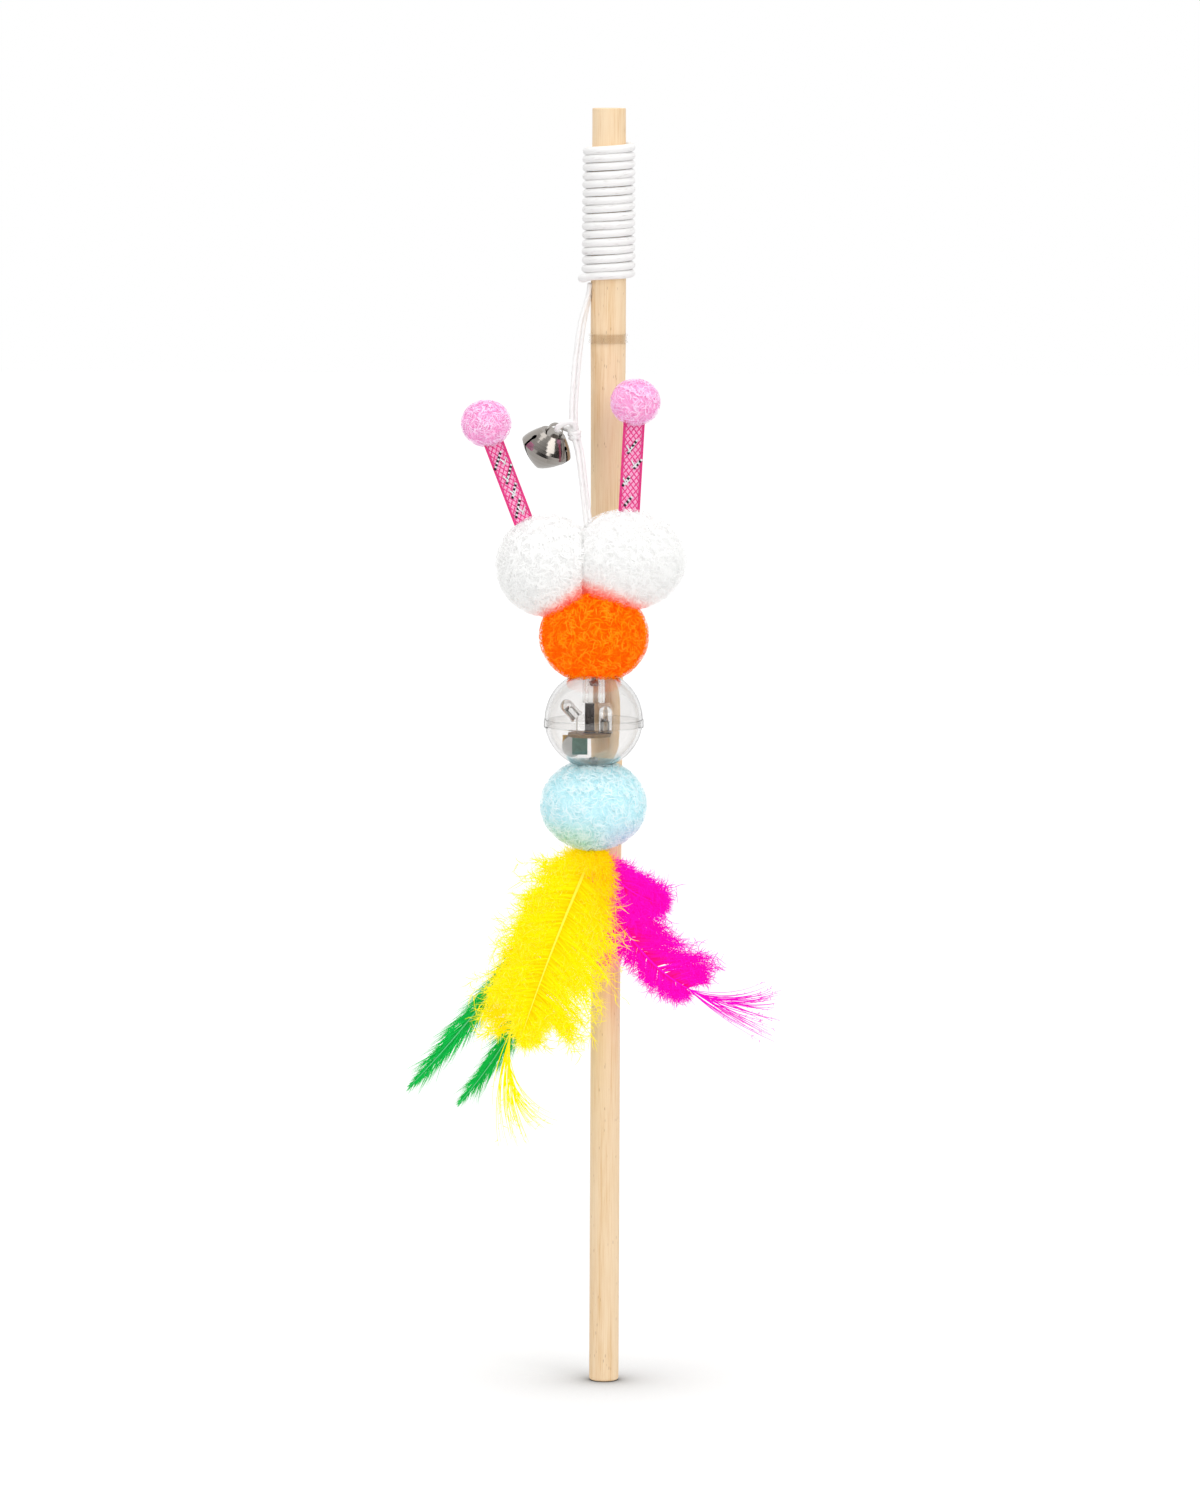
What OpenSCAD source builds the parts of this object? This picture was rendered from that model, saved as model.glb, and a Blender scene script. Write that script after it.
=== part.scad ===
// Cat teaser wand. A tapered wooden dowel carries a wound cord near its tip. A
// doubled line hangs from the winding with a jingle bell tied into it, and
// carries a caterpillar: two white pompoms with ribbon feelers, an orange
// pompom, a clear ball with a light module, a blue pompom and dyed feathers.
// Millimetres, +Z up, the origin at the centre of the dowel's butt. The toy
// hangs in front of the dowel, on its -Y side.

/* [Dowel] */
// Length of the dowel
dowel_len = 400; // [380:1:420]
// Diameter of the straight handle
handle_d = 9.25; // [9:0.05:9.6]
// Diameter of the thickest part, below the winding
neck_d = 10.95; // [10.6:0.05:11.2]
// Diameter at the tip
tip_d = 10.4; // [10:0.05:10.9]
// Length of the straight handle
handle_len = 116; // [100:1:130]
// Distance from the tip down to the foot of the thickest part
neck_below = 73; // [70:0.5:76]
// Length of the thickest part
neck_len = 18; // [12:0.5:20]
// Rounding of the butt's edge
butt_round = 0.8; // [0.4:0.1:1.4]
// Rounding of the tip's edge
tip_round = 0.3; // [0.2:0.05:0.6]

/* [Winding] */
// Turns of cord round the dowel
wound_turns = 16; // [12:1:18]
// Rise of one turn
wound_pitch = 2.6; // [2.55:0.01:2.75]
// Thickness of the wound cord, square to the dowel
wound_d = 2.5; // [2.3:0.05:2.7]
// Height of the wound cord, pressed by its neighbours
wound_h = 2.08; // [1.9:0.01:2.12]
// Clearance of the winding round the dowel
wound_seat = 0.05; // [0.03:0.01:0.1]
// Distance from the tip down to the middle of the top turn
tip_bare = 12.7; // [11:0.1:15]
// How far the first turn's end stands out at the left
tuck_out = 1.2; // [0.6:0.1:1.6]
// How far the first turn's end drops at the left
tuck_drop = 0.5; // [0.2:0.05:0.8]

/* [Sliding band] */
// Height of the clear band
band_h = 2.8; // [2.2:0.1:4]
// Wall of the clear band
band_wall = 0.35; // [0.3:0.05:0.5]
// Height of each rim of the band
band_rim_h = 0.5; // [0.4:0.1:0.8]
// How far each rim stands out
band_rim_out = 0.25; // [0.15:0.05:0.4]
// Clearance of the band round the dowel
band_fit = 0.06; // [0.04:0.01:0.1]
// Distance from the foot of the thickest part up to the band
band_up = 0.2; // [0:0.1:2]

/* [Line] */
// Diameter of each hanging strand
strand_d = 1.5; // [1.3:0.05:1.7]
// Gap between the two strands
strand_gap = 0.1; // [0.1:0.05:0.2]
// Height from the line's top down to the notch between the white pompoms
line_drop = 73.4; // [70:0.2:78]
// How far the line bows out to the left
line_bow = 5.2; // [4.6:0.1:6]
// Gap where one stretch of the line turns against the next
pivot_gap = 0.5; // [0.4:0.05:0.6]
// Radius of the turns of the knot
knot_r = 1.2; // [1.1:0.05:1.3]
// Turns in the knot
knot_turns = 2; // [2:1:3]
// Radius of the loop that holds the bell
loop_r = 2.4; // [2.3:0.05:2.6]

/* [Bell] */
// Diameter of the bell
bell_d = 16.2; // [15:0.1:17]
// Depth from the bell's waist down to its pole
bell_drop = 7.3; // [6.8:0.1:8]
// Height from the bell's waist up to its flat crown
bell_crown = 5.6; // [5.2:0.1:6]
// Height at which the sides of the upper half would meet
bell_apex = 8.6; // [8:0.1:9]
// Sheet thickness
bell_wall = 0.5; // [0.4:0.05:0.6]
// Number of petals, with a slot between each two
bell_petals = 3; // [3:1:4]
// Width of the slots
bell_slot_w = 0.9; // [0.7:0.05:1.2]
// Height above the waist at which the slots end
bell_slot_up = 3.2; // [2.4:0.1:3.6]
// Diameter of the round end of each slot
bell_slot_end_d = 1.5; // [1.2:0.05:1.8]
// Diameter of the pellet in the bell
pellet_d = 3.6; // [3.2:0.1:4]
// Travel of the pellet along the bell
pellet_travel = 4; // [3:0.1:4.4]
// Width of the shank's strap
shank_w = 1.6; // [1.4:0.05:1.8]
// Thickness of the shank's strap
shank_t = 0.45; // [0.35:0.05:0.55]
// Radius inside the shank's bow
shank_in_r = 1.95; // [1.85:0.05:2.1]
// Straight height of the shank above the crown
shank_rise = 1; // [0.8:0.05:1.2]

/* [Pompoms] */
// Width of the orange pompom
orange_w = 33.5; // [32:0.1:35]
// Height of the orange pompom
orange_h = 29.2; // [28:0.1:31]
// Width of the blue pompom
blue_w = 32.6; // [31:0.1:34]
// Height of the blue pompom
blue_h = 28; // [27:0.1:30]
// Width of the left white pompom
white_left_w = 27.8; // [27:0.1:29]
// Height and depth of the left white pompom
white_left_h = 31.3; // [30:0.1:32]
// Width of the right white pompom
white_right_w = 32.2; // [31:0.1:33]
// Height and depth of the right white pompom
white_right_h = 30.9; // [30:0.1:32]
// Width of the pink pompoms
pink_w = 15; // [14:0.1:16]
// Height of the pink pompoms
pink_h = 14; // [13:0.1:15]
// Gap between a pompom and what dents it
pompom_gap = 0.35; // [0.3:0.05:0.5]
// Clearance of a cord in a pompom's bore
bore_fit = 0.1; // [0.1:0.05:0.2]
// Height of the notch between the white pompoms above the orange one's middle
notch_h = 34.7; // [34:0.1:35.5]
// Sideways place of the left white pompom from the orange one
white_left_side = 16.4; // [16:0.1:17]
// Height of the left white pompom above the orange one
white_left_up = 21.8; // [21.4:0.1:22.4]
// Sideways place of the right white pompom from the orange one
white_right_side = 12.1; // [11.6:0.1:12.6]
// Height of the right white pompom above the orange one
white_right_up = 23.7; // [23.2:0.1:24.2]
// How deep the ball sits in the orange pompom
orange_nest = 3.8; // [3.4:0.1:4.2]
// How deep the ball sits in the blue pompom
blue_nest = 2.6; // [2.2:0.1:3]

/* [Feelers] */
// Width of the ribbons
ribbon_w = 7.2; // [6.8:0.1:7.6]
// Thickness of the ribbons
ribbon_t = 0.35; // [0.3:0.05:0.4]
// Width of the solid edge of a ribbon
selvedge = 0.75; // [0.6:0.05:0.9]
// Width of one mesh of the net
mesh_w = 1.42; // [1.3:0.01:1.6]
// Height of one mesh of the net
mesh_h = 1.8; // [1.7:0.05:2]
// Width of the net's threads
thread_w = 0.34; // [0.3:0.02:0.4]
// Free length of the left ribbon
ribbon_left_len = 24.4; // [23:0.1:26]
// Free length of the right ribbon
ribbon_right_len = 26; // [25:0.1:27]
// Length of each ribbon inside its pink pompom
ribbon_hold = 3; // [2:0.1:4]
// Clearance of a ribbon in its pink pompom
ribbon_fit = 0.1; // [0.05:0.05:0.15]

/* [Clear ball] */
// Diameter of the clear ball
ball_d = 30.4; // [29.6:0.1:31]
// Wall of the ball
ball_wall = 1; // [0.9:0.05:1.2]
// Height of the raised belt at the seam
belt_h = 2.3; // [2:0.1:2.8]
// How far the belt stands out
belt_out = 0.28; // [0.2:0.02:0.4]
// Height of the spigot inside the belt
spigot_h = 1.9; // [1.5:0.1:1.9]
// Clearance between spigot and socket
spigot_fit = 0.05; // [0.03:0.01:0.08]
// Outer diameter of the boss inside the top
boss_d = 6.9; // [6.6:0.1:7.2]
// Bore of the boss, for the cord's knot
boss_bore = 3.8; // [3.7:0.05:4]
// Height of the boss's end above the ball's middle
boss_end = 5.3; // [5:0.1:5.6]
// Diameter of the inner cord
core_d = 1.5; // [1.3:0.05:1.7]
// Clearance of the inner cord in the ball's two holes
core_fit = 0.2; // [0.15:0.05:0.3]
// Diameter of the inner cord's knots
core_knot_d = 3; // [2.8:0.05:3.1]

/* [Light module] */
// Diameter of the circuit board
board_d = 13.5; // [12.5:0.1:14.5]
// Thickness of the circuit board
board_t = 1; // [0.8:0.1:1.2]
// Depth of the board's top below the ball's middle
board_down = 4.2; // [4:0.1:4.6]
// Diameter of each lamp
led_d = 4; // [3.8:0.1:4.2]
// Height of the standing lamp
led_h = 8.4; // [8:0.1:9]
// Length of the tilted lamp
led_tilted_len = 6.8; // [6.4:0.1:7.2]
// Diameter of the spring switch
switch_d = 3; // [2.6:0.1:3.2]
// Clearance of the battery cells from the ball's wall
cell_gap = 0.23; // [0.15:0.01:0.4]
// Thickness of each battery cell
cell_t = 2.1; // [1.9:0.05:2.2]
// How far the battery holder ends above the cells' lowest edge
holder_short = 0.9; // [0.6:0.1:1.2]
// How far the holder reaches past the cells' right edge
holder_past = 1.55; // [1.3:0.05:1.7]
// Thickness of the holder's front cheek
holder_wall = 0.8; // [0.6:0.05:1]
// Clearance of the cells in their holder
holder_fit = 0.1; // [0.05:0.05:0.15]
// Thickness of the contact clip
clip_t = 0.3; // [0.25:0.05:0.4]

/* [Feathers] */
// Diameter of the crimp that holds the quills
crimp_d = 5; // [4.8:0.1:5.4]
// Height of the crimp
crimp_h = 3; // [2.6:0.1:3.4]
// Wall of the crimp
crimp_wall = 0.4; // [0.35:0.05:0.5]
// Length of the front yellow feather
yellow_front_len = 60; // [58:0.5:66]
// Width of the front yellow feather
yellow_front_w = 27; // [25:0.5:29]
// Length of the back yellow feather
yellow_back_len = 94; // [92:0.5:104]
// Width of the back yellow feather
yellow_back_w = 24; // [22:0.5:26]
// Length of the left green feather
green_left_len = 93; // [90:0.5:102]
// Width of the left green feather
green_left_w = 14; // [12:0.5:16]
// Length of the inner green feather
green_inner_len = 90.5; // [88:0.5:98]
// Width of the inner green feather
green_inner_w = 12; // [10:0.5:14]
// Length of the long magenta feather
magenta_long_len = 80; // [76:0.5:86]
// Width of the long magenta feather
magenta_long_w = 16; // [14:0.5:18]
// Length of the short magenta feather
magenta_short_len = 26; // [24:0.5:28]
// Width of the short magenta feather
magenta_short_w = 10; // [9:0.5:11]
// Thickness of a feather's vane
vane_t = 2.6; // [2:0.1:3]
// Thickness of a quill
quill_d = 0.8; // [0.7:0.05:0.9]

/* [Hidden] */
$fn = 48;

// Small overrun of every cut
over = 0.4;

// Heights along the dowel
neck_z = dowel_len - neck_below;
low_turn_z = dowel_len - tip_bare - (wound_turns - 1) * wound_pitch;

// Where the winding starts, at the left behind the line, and where it ends
tuck_from = 225;
tuck_full = 195;
wind_from = 165;
wind_to = 360 * wound_turns + 90;
rings_per_turn = 24;

// Top of the hanging line, just under the winding's first turn
exit_x_share = 1.05;
exit_z = wound_z(tuck_full) - wound_h / 2 - pivot_gap;
exit_x = -(dowel_r(exit_z) + strand_d / 2) * exit_x_share;
exit_y = -strand_d / 2;

// The line's bow to the left as shares of line_bow, down its drop
bow_shares = [
    [0, 0], [0.045, 0.04], [0.1, 0.24], [0.164, 0.47], [0.24, 0.62],
    [0.324, 0.76], [0.416, 0.86], [0.488, 0.93], [0.56, 0.95], [0.63, 0.88],
    [0.68, 0.62], [0.74, 0.48], [0.833, 0.32], [0.925, 0.18], [1, 0.05]
];
// Turn of the pair of strands about the line, in degrees, down the drop
pair_turns = [[0, 90], [0.17, 42], [1, 42]];
exit_share = 0.085;
knot_share = 0.628;

// The toy hangs with its widest pompom against the dowel
junction_z = exit_z - line_drop;
orange_z = junction_z - notch_h;
toy_x = -4;
toy_y = -(dowel_r(orange_z) + orange_w / 2 + pompom_gap);
ball_z = orange_z - orange_h / 2 - ball_d / 2 + orange_nest;
blue_z = ball_z - ball_d / 2 - blue_h / 2 + blue_nest;
ball_r = ball_d / 2;
junction = [exit_x - line_bow * lookup(1, bow_shares), toy_y, junction_z];
white_left_c = [toy_x - white_left_side, toy_y, orange_z + white_left_up];
white_right_c = [toy_x + white_right_side, toy_y, orange_z + white_right_up];

// Loop and bell
knot_c = line_point(knot_share);
loop_side_share = 1.05;
loop_up_share = 1.2;
loop_c = knot_c + loop_r * [-loop_side_share, 0, loop_up_share];
loop_down = 32;
loop_tip = 15;
loop_hole = loop_c + loop_r * [-cos(loop_down), 0, -sin(loop_down)];
bell_heading = -41;
bell_lean = 30;
bell_spin = 43;
shank_lean = 18;
shank_eye = shank_rise + shank_in_r - strand_d / 2 - pompom_gap;
shank_eye_p = [shank_eye * sin(shank_lean), 0, bell_crown + shank_eye * cos(shank_lean)];
bell_c = loop_hole - bell_turn(shank_eye_p);
bell_side_power = 1.25;
bell_steps = 6;
shank_leg = bell_wall + shank_in_r * sin(shank_lean) + 2 * shank_t;
shank_foot = 2 * shank_t;
pellet_z = -(bell_drop - bell_wall) * 0.55;

// Feelers: angle of each foot round its pompom, lean and turn of each ribbon
left_foot_a = -22;
left_lean = -21;
left_turn = 34;
right_foot_a = -5;
right_lean = 3;
right_turn = 24;

// Light module, across and up from the ball's middle
module_side = -1.25;
board_z = -board_down - board_t;
cell_side = -5.35;
cells_deep = 2 * cell_t + clip_t;
// The cells hang from the board and are as wide as the ball's wall lets them be
cell_room = sqrt(pow(ball_r - ball_wall - cell_gap, 2) - pow(cells_deep / 2, 2));
cell_off = norm([cell_side + module_side, board_z]);
cell_d = (cell_room * cell_room - cell_off * cell_off) / (cell_room - board_z);
cell_z = board_z - cell_d / 2;
holder_h = cell_d - holder_short;
holder_w = cell_d / 2 + holder_past;
led_side = 4.9;
tilted_led_side = -3.9;
led_tilt = 42;
lead_d = 0.6;

// Crimp and feathers
crimp_z = blue_z - blue_h / 2 - crimp_h * 0.35;
crimp_c = [toy_x, toy_y, crimp_z];
moving_gap = 0.6;
stations = 14;
ring_sides = 8;
// Width of a vane along its length, as shares of its widest
full_shares = [[0, 0.03], [0.04, 0.06], [0.1, 0.45], [0.2, 0.72], [0.4, 0.93],
    [0.6, 1], [0.8, 0.92], [0.9, 0.72], [1, 0.3]];
fan_shares = [[0, 0.03], [0.04, 0.1], [0.1, 0.5], [0.2, 0.8], [0.4, 1],
    [0.55, 0.85], [0.68, 0.4], [0.8, 0.55], [0.92, 0.7], [1, 0.45]];
sword_shares = [[0, 0.04], [0.05, 0.12], [0.15, 0.5], [0.35, 0.95],
    [0.55, 1], [0.75, 0.62], [0.9, 0.36], [1, 0.06]];
spray_shares = [[0, 0.04], [0.05, 0.3], [0.15, 0.8], [0.35, 1],
    [0.55, 0.72], [0.66, 0.4], [0.8, 0.5], [0.92, 0.6], [1, 0.3]];

function mix(a, b, t) = a + (b - a) * t;
function unit(v) = v / norm(v);
function ease(t) = t <= 0 ? 0 : t >= 1 ? 1 : t * t * (3 - 2 * t);
function turn_z(a, v) = [v.x * cos(a) - v.y * sin(a), v.x * sin(a) + v.y * cos(a), v.z];
function turn_y(a, v) = [v.x * cos(a) + v.z * sin(a), v.y, v.z * cos(a) - v.x * sin(a)];

// Radius of the dowel at height z
function dowel_r(z) =
    z <= handle_len ? handle_d / 2 :
    z <= neck_z ? mix(handle_d, neck_d, (z - handle_len) / (neck_z - handle_len)) / 2 :
    z <= neck_z + neck_len ? neck_d / 2 :
    mix(neck_d, tip_d, (z - neck_z - neck_len) / (neck_below - neck_len)) / 2;

// Closed tube through rings of points, each ring turning left about the way on
module skin(rings) {
    n = len(rings[0]);
    last = len(rings) - 1;
    points = [for (ring = rings) each ring];
    sides = [
        for (i = [0 : last - 1], j = [0 : n - 1])
            let (a = i * n + j, b = i * n + (j + 1) % n)
                each [[a, a + n, b], [b, a + n, b + n]]
    ];
    start = [for (j = [1 : n - 2]) [0, j, j + 1]];
    finish = [for (j = [1 : n - 2]) [last * n, last * n + j + 1, last * n + j]];
    polyhedron(points, concat(start, sides, finish));
}

// Dowel: a straight handle, a slow swell to the neck, and a slight taper to the tip
module dowel() {
    color("burlywood")
        rotate_extrude()
            polygon([
                [0, 0],
                for (a = [0 : 15 : 90])
                    [handle_d / 2 - butt_round * (1 - sin(a)), butt_round * (1 - cos(a))],
                [handle_d / 2, handle_len],
                [neck_d / 2, neck_z],
                [neck_d / 2, neck_z + neck_len],
                for (a = [0 : 30 : 90])
                    [tip_d / 2 - tip_round * (1 - cos(a)), dowel_len - tip_round * (1 - sin(a))],
                [0, dowel_len]
            ]);
}

// Winding: one cord, wound upwards and to the left round the dowel
function tuck(a) = ease((tuck_from - a) / (tuck_from - tuck_full));
function wound_z(a) = low_turn_z + wound_pitch * (a - 270) / 360 - tuck_drop * tuck(a);
function wound_r(a) = dowel_r(wound_z(a)) + wound_d / 2 + wound_seat + tuck_out * tuck(a);
function wound_ring(a, run) = [
    for (k = [0 : 5])
        let (
            out = wound_r(a) + wound_d / 2 * cos(60 * k),
            up = wound_z(a) - wound_h / 2 * sin(60 * k) / sin(60)
        )
            [out * cos(a) - run * sin(a), out * sin(a) + run * cos(a), up]
];
wound_steps = round(rings_per_turn * (wind_to - wind_from) / 360);
wound_rings = [
    wound_ring(wind_from, -wound_d),
    for (i = [0 : wound_steps]) wound_ring(mix(wind_from, wind_to, i / wound_steps), 0),
    wound_ring(wind_to, wound_d)
];
// Least gap between a turn and the next, measured on the cord's own points
wound_gap = min([
    for (i = [1 : wound_steps - rings_per_turn - 1], s = [-2 : 2])
        let (j = i + rings_per_turn + s)
            if (j <= wound_steps)
                min([for (p = wound_rings[i], q = wound_rings[j]) norm(p - q)])
]);
echo(least_gap_of_the_winding = wound_gap);

module grip_winding() {
    color("white") skin(wound_rings);
}

// Clear band that slides on the dowel, with a rim at each end
module retaining_band() {
    in_r = neck_d / 2 + band_fit;
    low = neck_z + band_up;
    color("gainsboro")
        rotate_extrude()
            polygon([
                [in_r, low],
                [in_r + band_wall + band_rim_out, low],
                [in_r + band_wall + band_rim_out, low + band_rim_h],
                [in_r + band_wall, low + band_rim_h],
                [in_r + band_wall, low + band_h - band_rim_h],
                [in_r + band_wall + band_rim_out, low + band_h - band_rim_h],
                [in_r + band_wall + band_rim_out, low + band_h],
                [in_r, low + band_h]
            ]);
}

// Line: two strands side by side, along one bowed course
function line_point(s) = [
    exit_x - line_bow * lookup(s, bow_shares),
    mix(exit_y, toy_y, s),
    exit_z - line_drop * s
];
function strand_point(s, side) =
    let (a = lookup(s, pair_turns))
        line_point(s) + side * (strand_d + strand_gap) / 2 * [cos(a), sin(a), 0];
function strand_ring(s, side, r) =
    let (
        p = strand_point(s, side),
        way = unit(strand_point(s + 0.01, side) - strand_point(s - 0.01, side)),
        u = unit(cross([0, 1, 0], way)),
        v = cross(way, u)
    )
        [for (k = [0 : ring_sides - 1])
            p + r * (u * cos(360 * k / ring_sides) + v * sin(360 * k / ring_sides))];

// Both strands from share a to share b of the drop, with narrowed ends
module strands(a, b, steps) {
    nib = strand_d / 4 / line_drop;
    for (side = [-1, 1])
        skin([
            strand_ring(a, side, strand_d / 4),
            strand_ring(a + nib, side, strand_d / 2),
            for (i = [1 : steps - 1]) strand_ring(mix(a, b, i / steps), side, strand_d / 2),
            strand_ring(b - nib, side, strand_d / 2),
            strand_ring(b, side, strand_d / 4)
        ]);
}

half_gap = pivot_gap / 2 / line_drop;

module cord_exit() {
    color("white") strands(0, exit_share - half_gap, 2);
}

module cord_upper() {
    color("white") strands(exit_share + half_gap, knot_share - knot_r / line_drop, 9);
}

module cord_lower() {
    color("white") strands(knot_share + knot_r / line_drop, 1 - pivot_gap / line_drop, 6);
}

// Knot round the line and the loop that passes through the bell's shank
module bell_knot() {
    color("white") {
        translate(knot_c) {
            for (i = [0 : knot_turns - 1])
                translate([0, 0, (i - (knot_turns - 1) / 2) * strand_d])
                    rotate_extrude()
                        translate([knot_r, 0])
                            circle(d = strand_d);
            cylinder(r = knot_r, h = knot_turns * strand_d * 0.9, center = true);
        }
        translate(loop_c)
            rotate([0, loop_down - 90, 0])
                rotate([0, 0, 180])
                    rotate([0, 90 - loop_tip, 0])
                        rotate_extrude()
                            translate([loop_r, 0])
                                circle(d = strand_d);
    }
}

// Bell: everything below is drawn about its own upright axis, then set in place
function bell_turn(v) = turn_z(bell_heading, turn_y(bell_lean, turn_z(bell_spin, v)));
module at_bell() {
    translate(bell_c)
        rotate([0, 0, bell_heading])
            rotate([0, bell_lean, 0])
                rotate([0, 0, bell_spin])
                    children();
}

// Side of the bell at a height, for a half that would close at a given height
function bell_side(z, r, close) =
    r * pow(1 - pow(abs(z) / close, bell_side_power), 1 / bell_side_power);
function bell_outline(inset) =
    let (
        r = bell_d / 2 - inset,
        drop = bell_drop - inset * 1.3,
        crown = bell_crown - inset,
        apex = bell_apex - inset * 1.3
    )
        [
            for (i = [0 : bell_steps])
                let (z = -drop * cos(90 * i / bell_steps)) [bell_side(z, r, drop), z],
            for (i = [1 : bell_steps])
                let (z = crown * i / bell_steps) [bell_side(z, r, apex), z],
            [0, crown]
        ];

module bell_shell() {
    reach = bell_d / 2 + over;
    color("silver")
        at_bell()
            difference() {
                rotate_extrude() polygon(bell_outline(0));
                rotate_extrude() polygon(bell_outline(bell_wall));
                for (i = [0 : bell_petals - 1])
                    rotate([0, 0, 90 + i * 360 / bell_petals]) {
                        translate([0, -bell_slot_w / 2, -bell_drop - over])
                            cube([reach, bell_slot_w, bell_drop + over + bell_slot_up]);
                        translate([0, 0, bell_slot_up])
                            rotate([0, 90, 0])
                                cylinder(d = bell_slot_end_d, h = reach);
                    }
                shank_legs(shank_t / 4);
            }
}

// The shank's two straps where they pass the crown, with a clearance all round
module shank_legs(fit) {
    translate([0, 0, bell_crown])
        rotate([0, shank_lean, 0])
            for (side = [0, 180])
                rotate([0, 0, side])
                    translate([shank_in_r - fit, -shank_w / 2 - fit, -shank_leg])
                        cube([shank_t + 2 * fit, shank_w + 2 * fit, shank_leg + shank_rise]);
}

module bell_shank() {
    color("silver")
        at_bell() {
            shank_legs(0);
            translate([0, 0, bell_crown])
                rotate([0, shank_lean, 0]) {
                    translate([0, 0, shank_rise])
                        rotate([90, 0, 0])
                            rotate_extrude(angle = 180)
                                translate([shank_in_r, -shank_w / 2])
                                    square([shank_t, shank_w]);
                    for (side = [0, 180])
                        rotate([0, 0, side])
                            translate([shank_in_r, -shank_w / 2, -shank_leg])
                                cube([shank_foot, shank_w, shank_t]);
                }
        }
}

module bell_pellet() {
    color("dimgray")
        at_bell()
            translate([0, 0, pellet_z])
                sphere(d = pellet_d);
}

// Pompom: a turned egg of width w and height h
module egg(w, h) {
    rotate_extrude()
        polygon([for (a = [-90 : 9 : 90]) [w / 2 * cos(a), h / 2 * sin(a)]]);
}

// White pompoms are widest across their depth, so they are turned about X
module white_left(grow) {
    translate(white_left_c)
        rotate([0, 90, 0])
            egg(white_left_h + 2 * grow, white_left_w + 2 * grow);
}

module white_right(grow) {
    translate(white_right_c)
        rotate([0, 90, 0])
            egg(white_right_h + 2 * grow, white_right_w + 2 * grow);
}

// Inner cord from the notch to the knot in the ball's boss, with a clearance
core_top = junction - [0, 0, pivot_gap / 2];
core_bend = [toy_x, toy_y, ball_z + ball_r + core_d];
core_knot_z = ball_z + ball_r - ball_wall - core_knot_d;
module core_line(d) {
    way = core_top - core_bend;
    translate(core_bend) {
        rotate([0, atan2(way.x, way.z), 0])
            cylinder(d = d, h = norm(way));
        sphere(d = d * 1.2);
    }
    translate([toy_x, toy_y, core_knot_z])
        cylinder(d = d, h = core_bend.z - core_knot_z);
}

module white_pompom_left() {
    color("white")
        difference() {
            white_left(0);
            white_right(pompom_gap / 2);
            core_line(core_d + 2 * bore_fit);
        }
}

module white_pompom_right() {
    color("white")
        difference() {
            white_right(0);
            core_line(core_d + 2 * bore_fit);
        }
}

module orange_pompom() {
    color("darkorange")
        difference() {
            translate([toy_x, toy_y, orange_z]) egg(orange_w, orange_h);
            white_left(pompom_gap / 2);
            white_right(pompom_gap / 2);
            translate([toy_x, toy_y, ball_z]) sphere(r = ball_r + pompom_gap);
            core_line(core_d + 2 * bore_fit);
        }
}

module toy_cord() {
    color("white") {
        core_line(core_d);
        translate([toy_x, toy_y, core_knot_z]) sphere(d = core_knot_d);
    }
}

// Feelers. Each foot stands on its white pompom, at an angle round its middle
function egg_reach(a, w, h) = 1 / norm([2 * sin(a) / w, 2 * cos(a) / h]);
function foot(c, a, w, h) =
    c + (egg_reach(a, w, h) + pompom_gap) * [sin(a), 0, cos(a)];
left_foot = foot(white_left_c, left_foot_a, white_left_w, white_left_h);
right_foot = foot(white_right_c, right_foot_a, white_right_w, white_right_h);

module at_left_foot() {
    translate(left_foot) rotate([0, left_lean, 0]) rotate([0, 0, left_turn]) children();
}

module at_right_foot() {
    translate(right_foot) rotate([0, right_lean, 0]) rotate([0, 0, right_turn]) children();
}

// Ribbon: a flat net of diamond meshes between two solid edges
module ribbon(length) {
    net_w = ribbon_w - 2 * selvedge;
    columns = floor(net_w / mesh_w);
    rows = floor((length - selvedge) / mesh_h);
    half_w = (mesh_w - thread_w * 1.27) / 2;
    half_h = half_w * mesh_h / mesh_w;
    first_x = -(columns - 1) / 2 * mesh_w;
    first_z = selvedge + half_h;
    holes = [
        for (j = [0 : rows - 1], i = [0 : columns - 1])
            [first_x + i * mesh_w, first_z + j * mesh_h],
        for (j = [0 : rows - 2], i = [0 : columns - 2])
            [first_x + (i + 0.5) * mesh_w, first_z + (j + 0.5) * mesh_h]
    ];
    outline = [
        [-ribbon_w / 2, 0], [ribbon_w / 2, 0], [ribbon_w / 2, length], [-ribbon_w / 2, length]
    ];
    points = concat(outline, [
        for (c = holes)
            each [c - [half_w, 0], c - [0, half_h], c + [half_w, 0], c + [0, half_h]]
    ]);
    paths = [for (i = [0 : len(holes)]) [4 * i, 4 * i + 1, 4 * i + 2, 4 * i + 3]];
    rotate([90, 0, 0])
        linear_extrude(ribbon_t, center = true)
            polygon(points, paths);
}

module antenna_ribbon_left() {
    color("deeppink") at_left_foot() ribbon(ribbon_left_len + ribbon_hold);
}

module antenna_ribbon_right() {
    color("deeppink") at_right_foot() ribbon(ribbon_right_len + ribbon_hold);
}

// Pink pompom glued over the end of a ribbon of a given free length
module feeler_tip(length) {
    difference() {
        translate([0, 0, length + pink_h / 2]) egg(pink_w, pink_h);
        translate([-ribbon_w / 2 - ribbon_fit, -ribbon_t / 2 - ribbon_fit, length - over])
            cube([
                ribbon_w + 2 * ribbon_fit,
                ribbon_t + 2 * ribbon_fit,
                over + ribbon_hold + ribbon_fit
            ]);
    }
}

module pink_pompom_left() {
    color("hotpink") at_left_foot() feeler_tip(ribbon_left_len);
}

module pink_pompom_right() {
    color("hotpink") at_right_foot() feeler_tip(ribbon_right_len);
}

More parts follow.
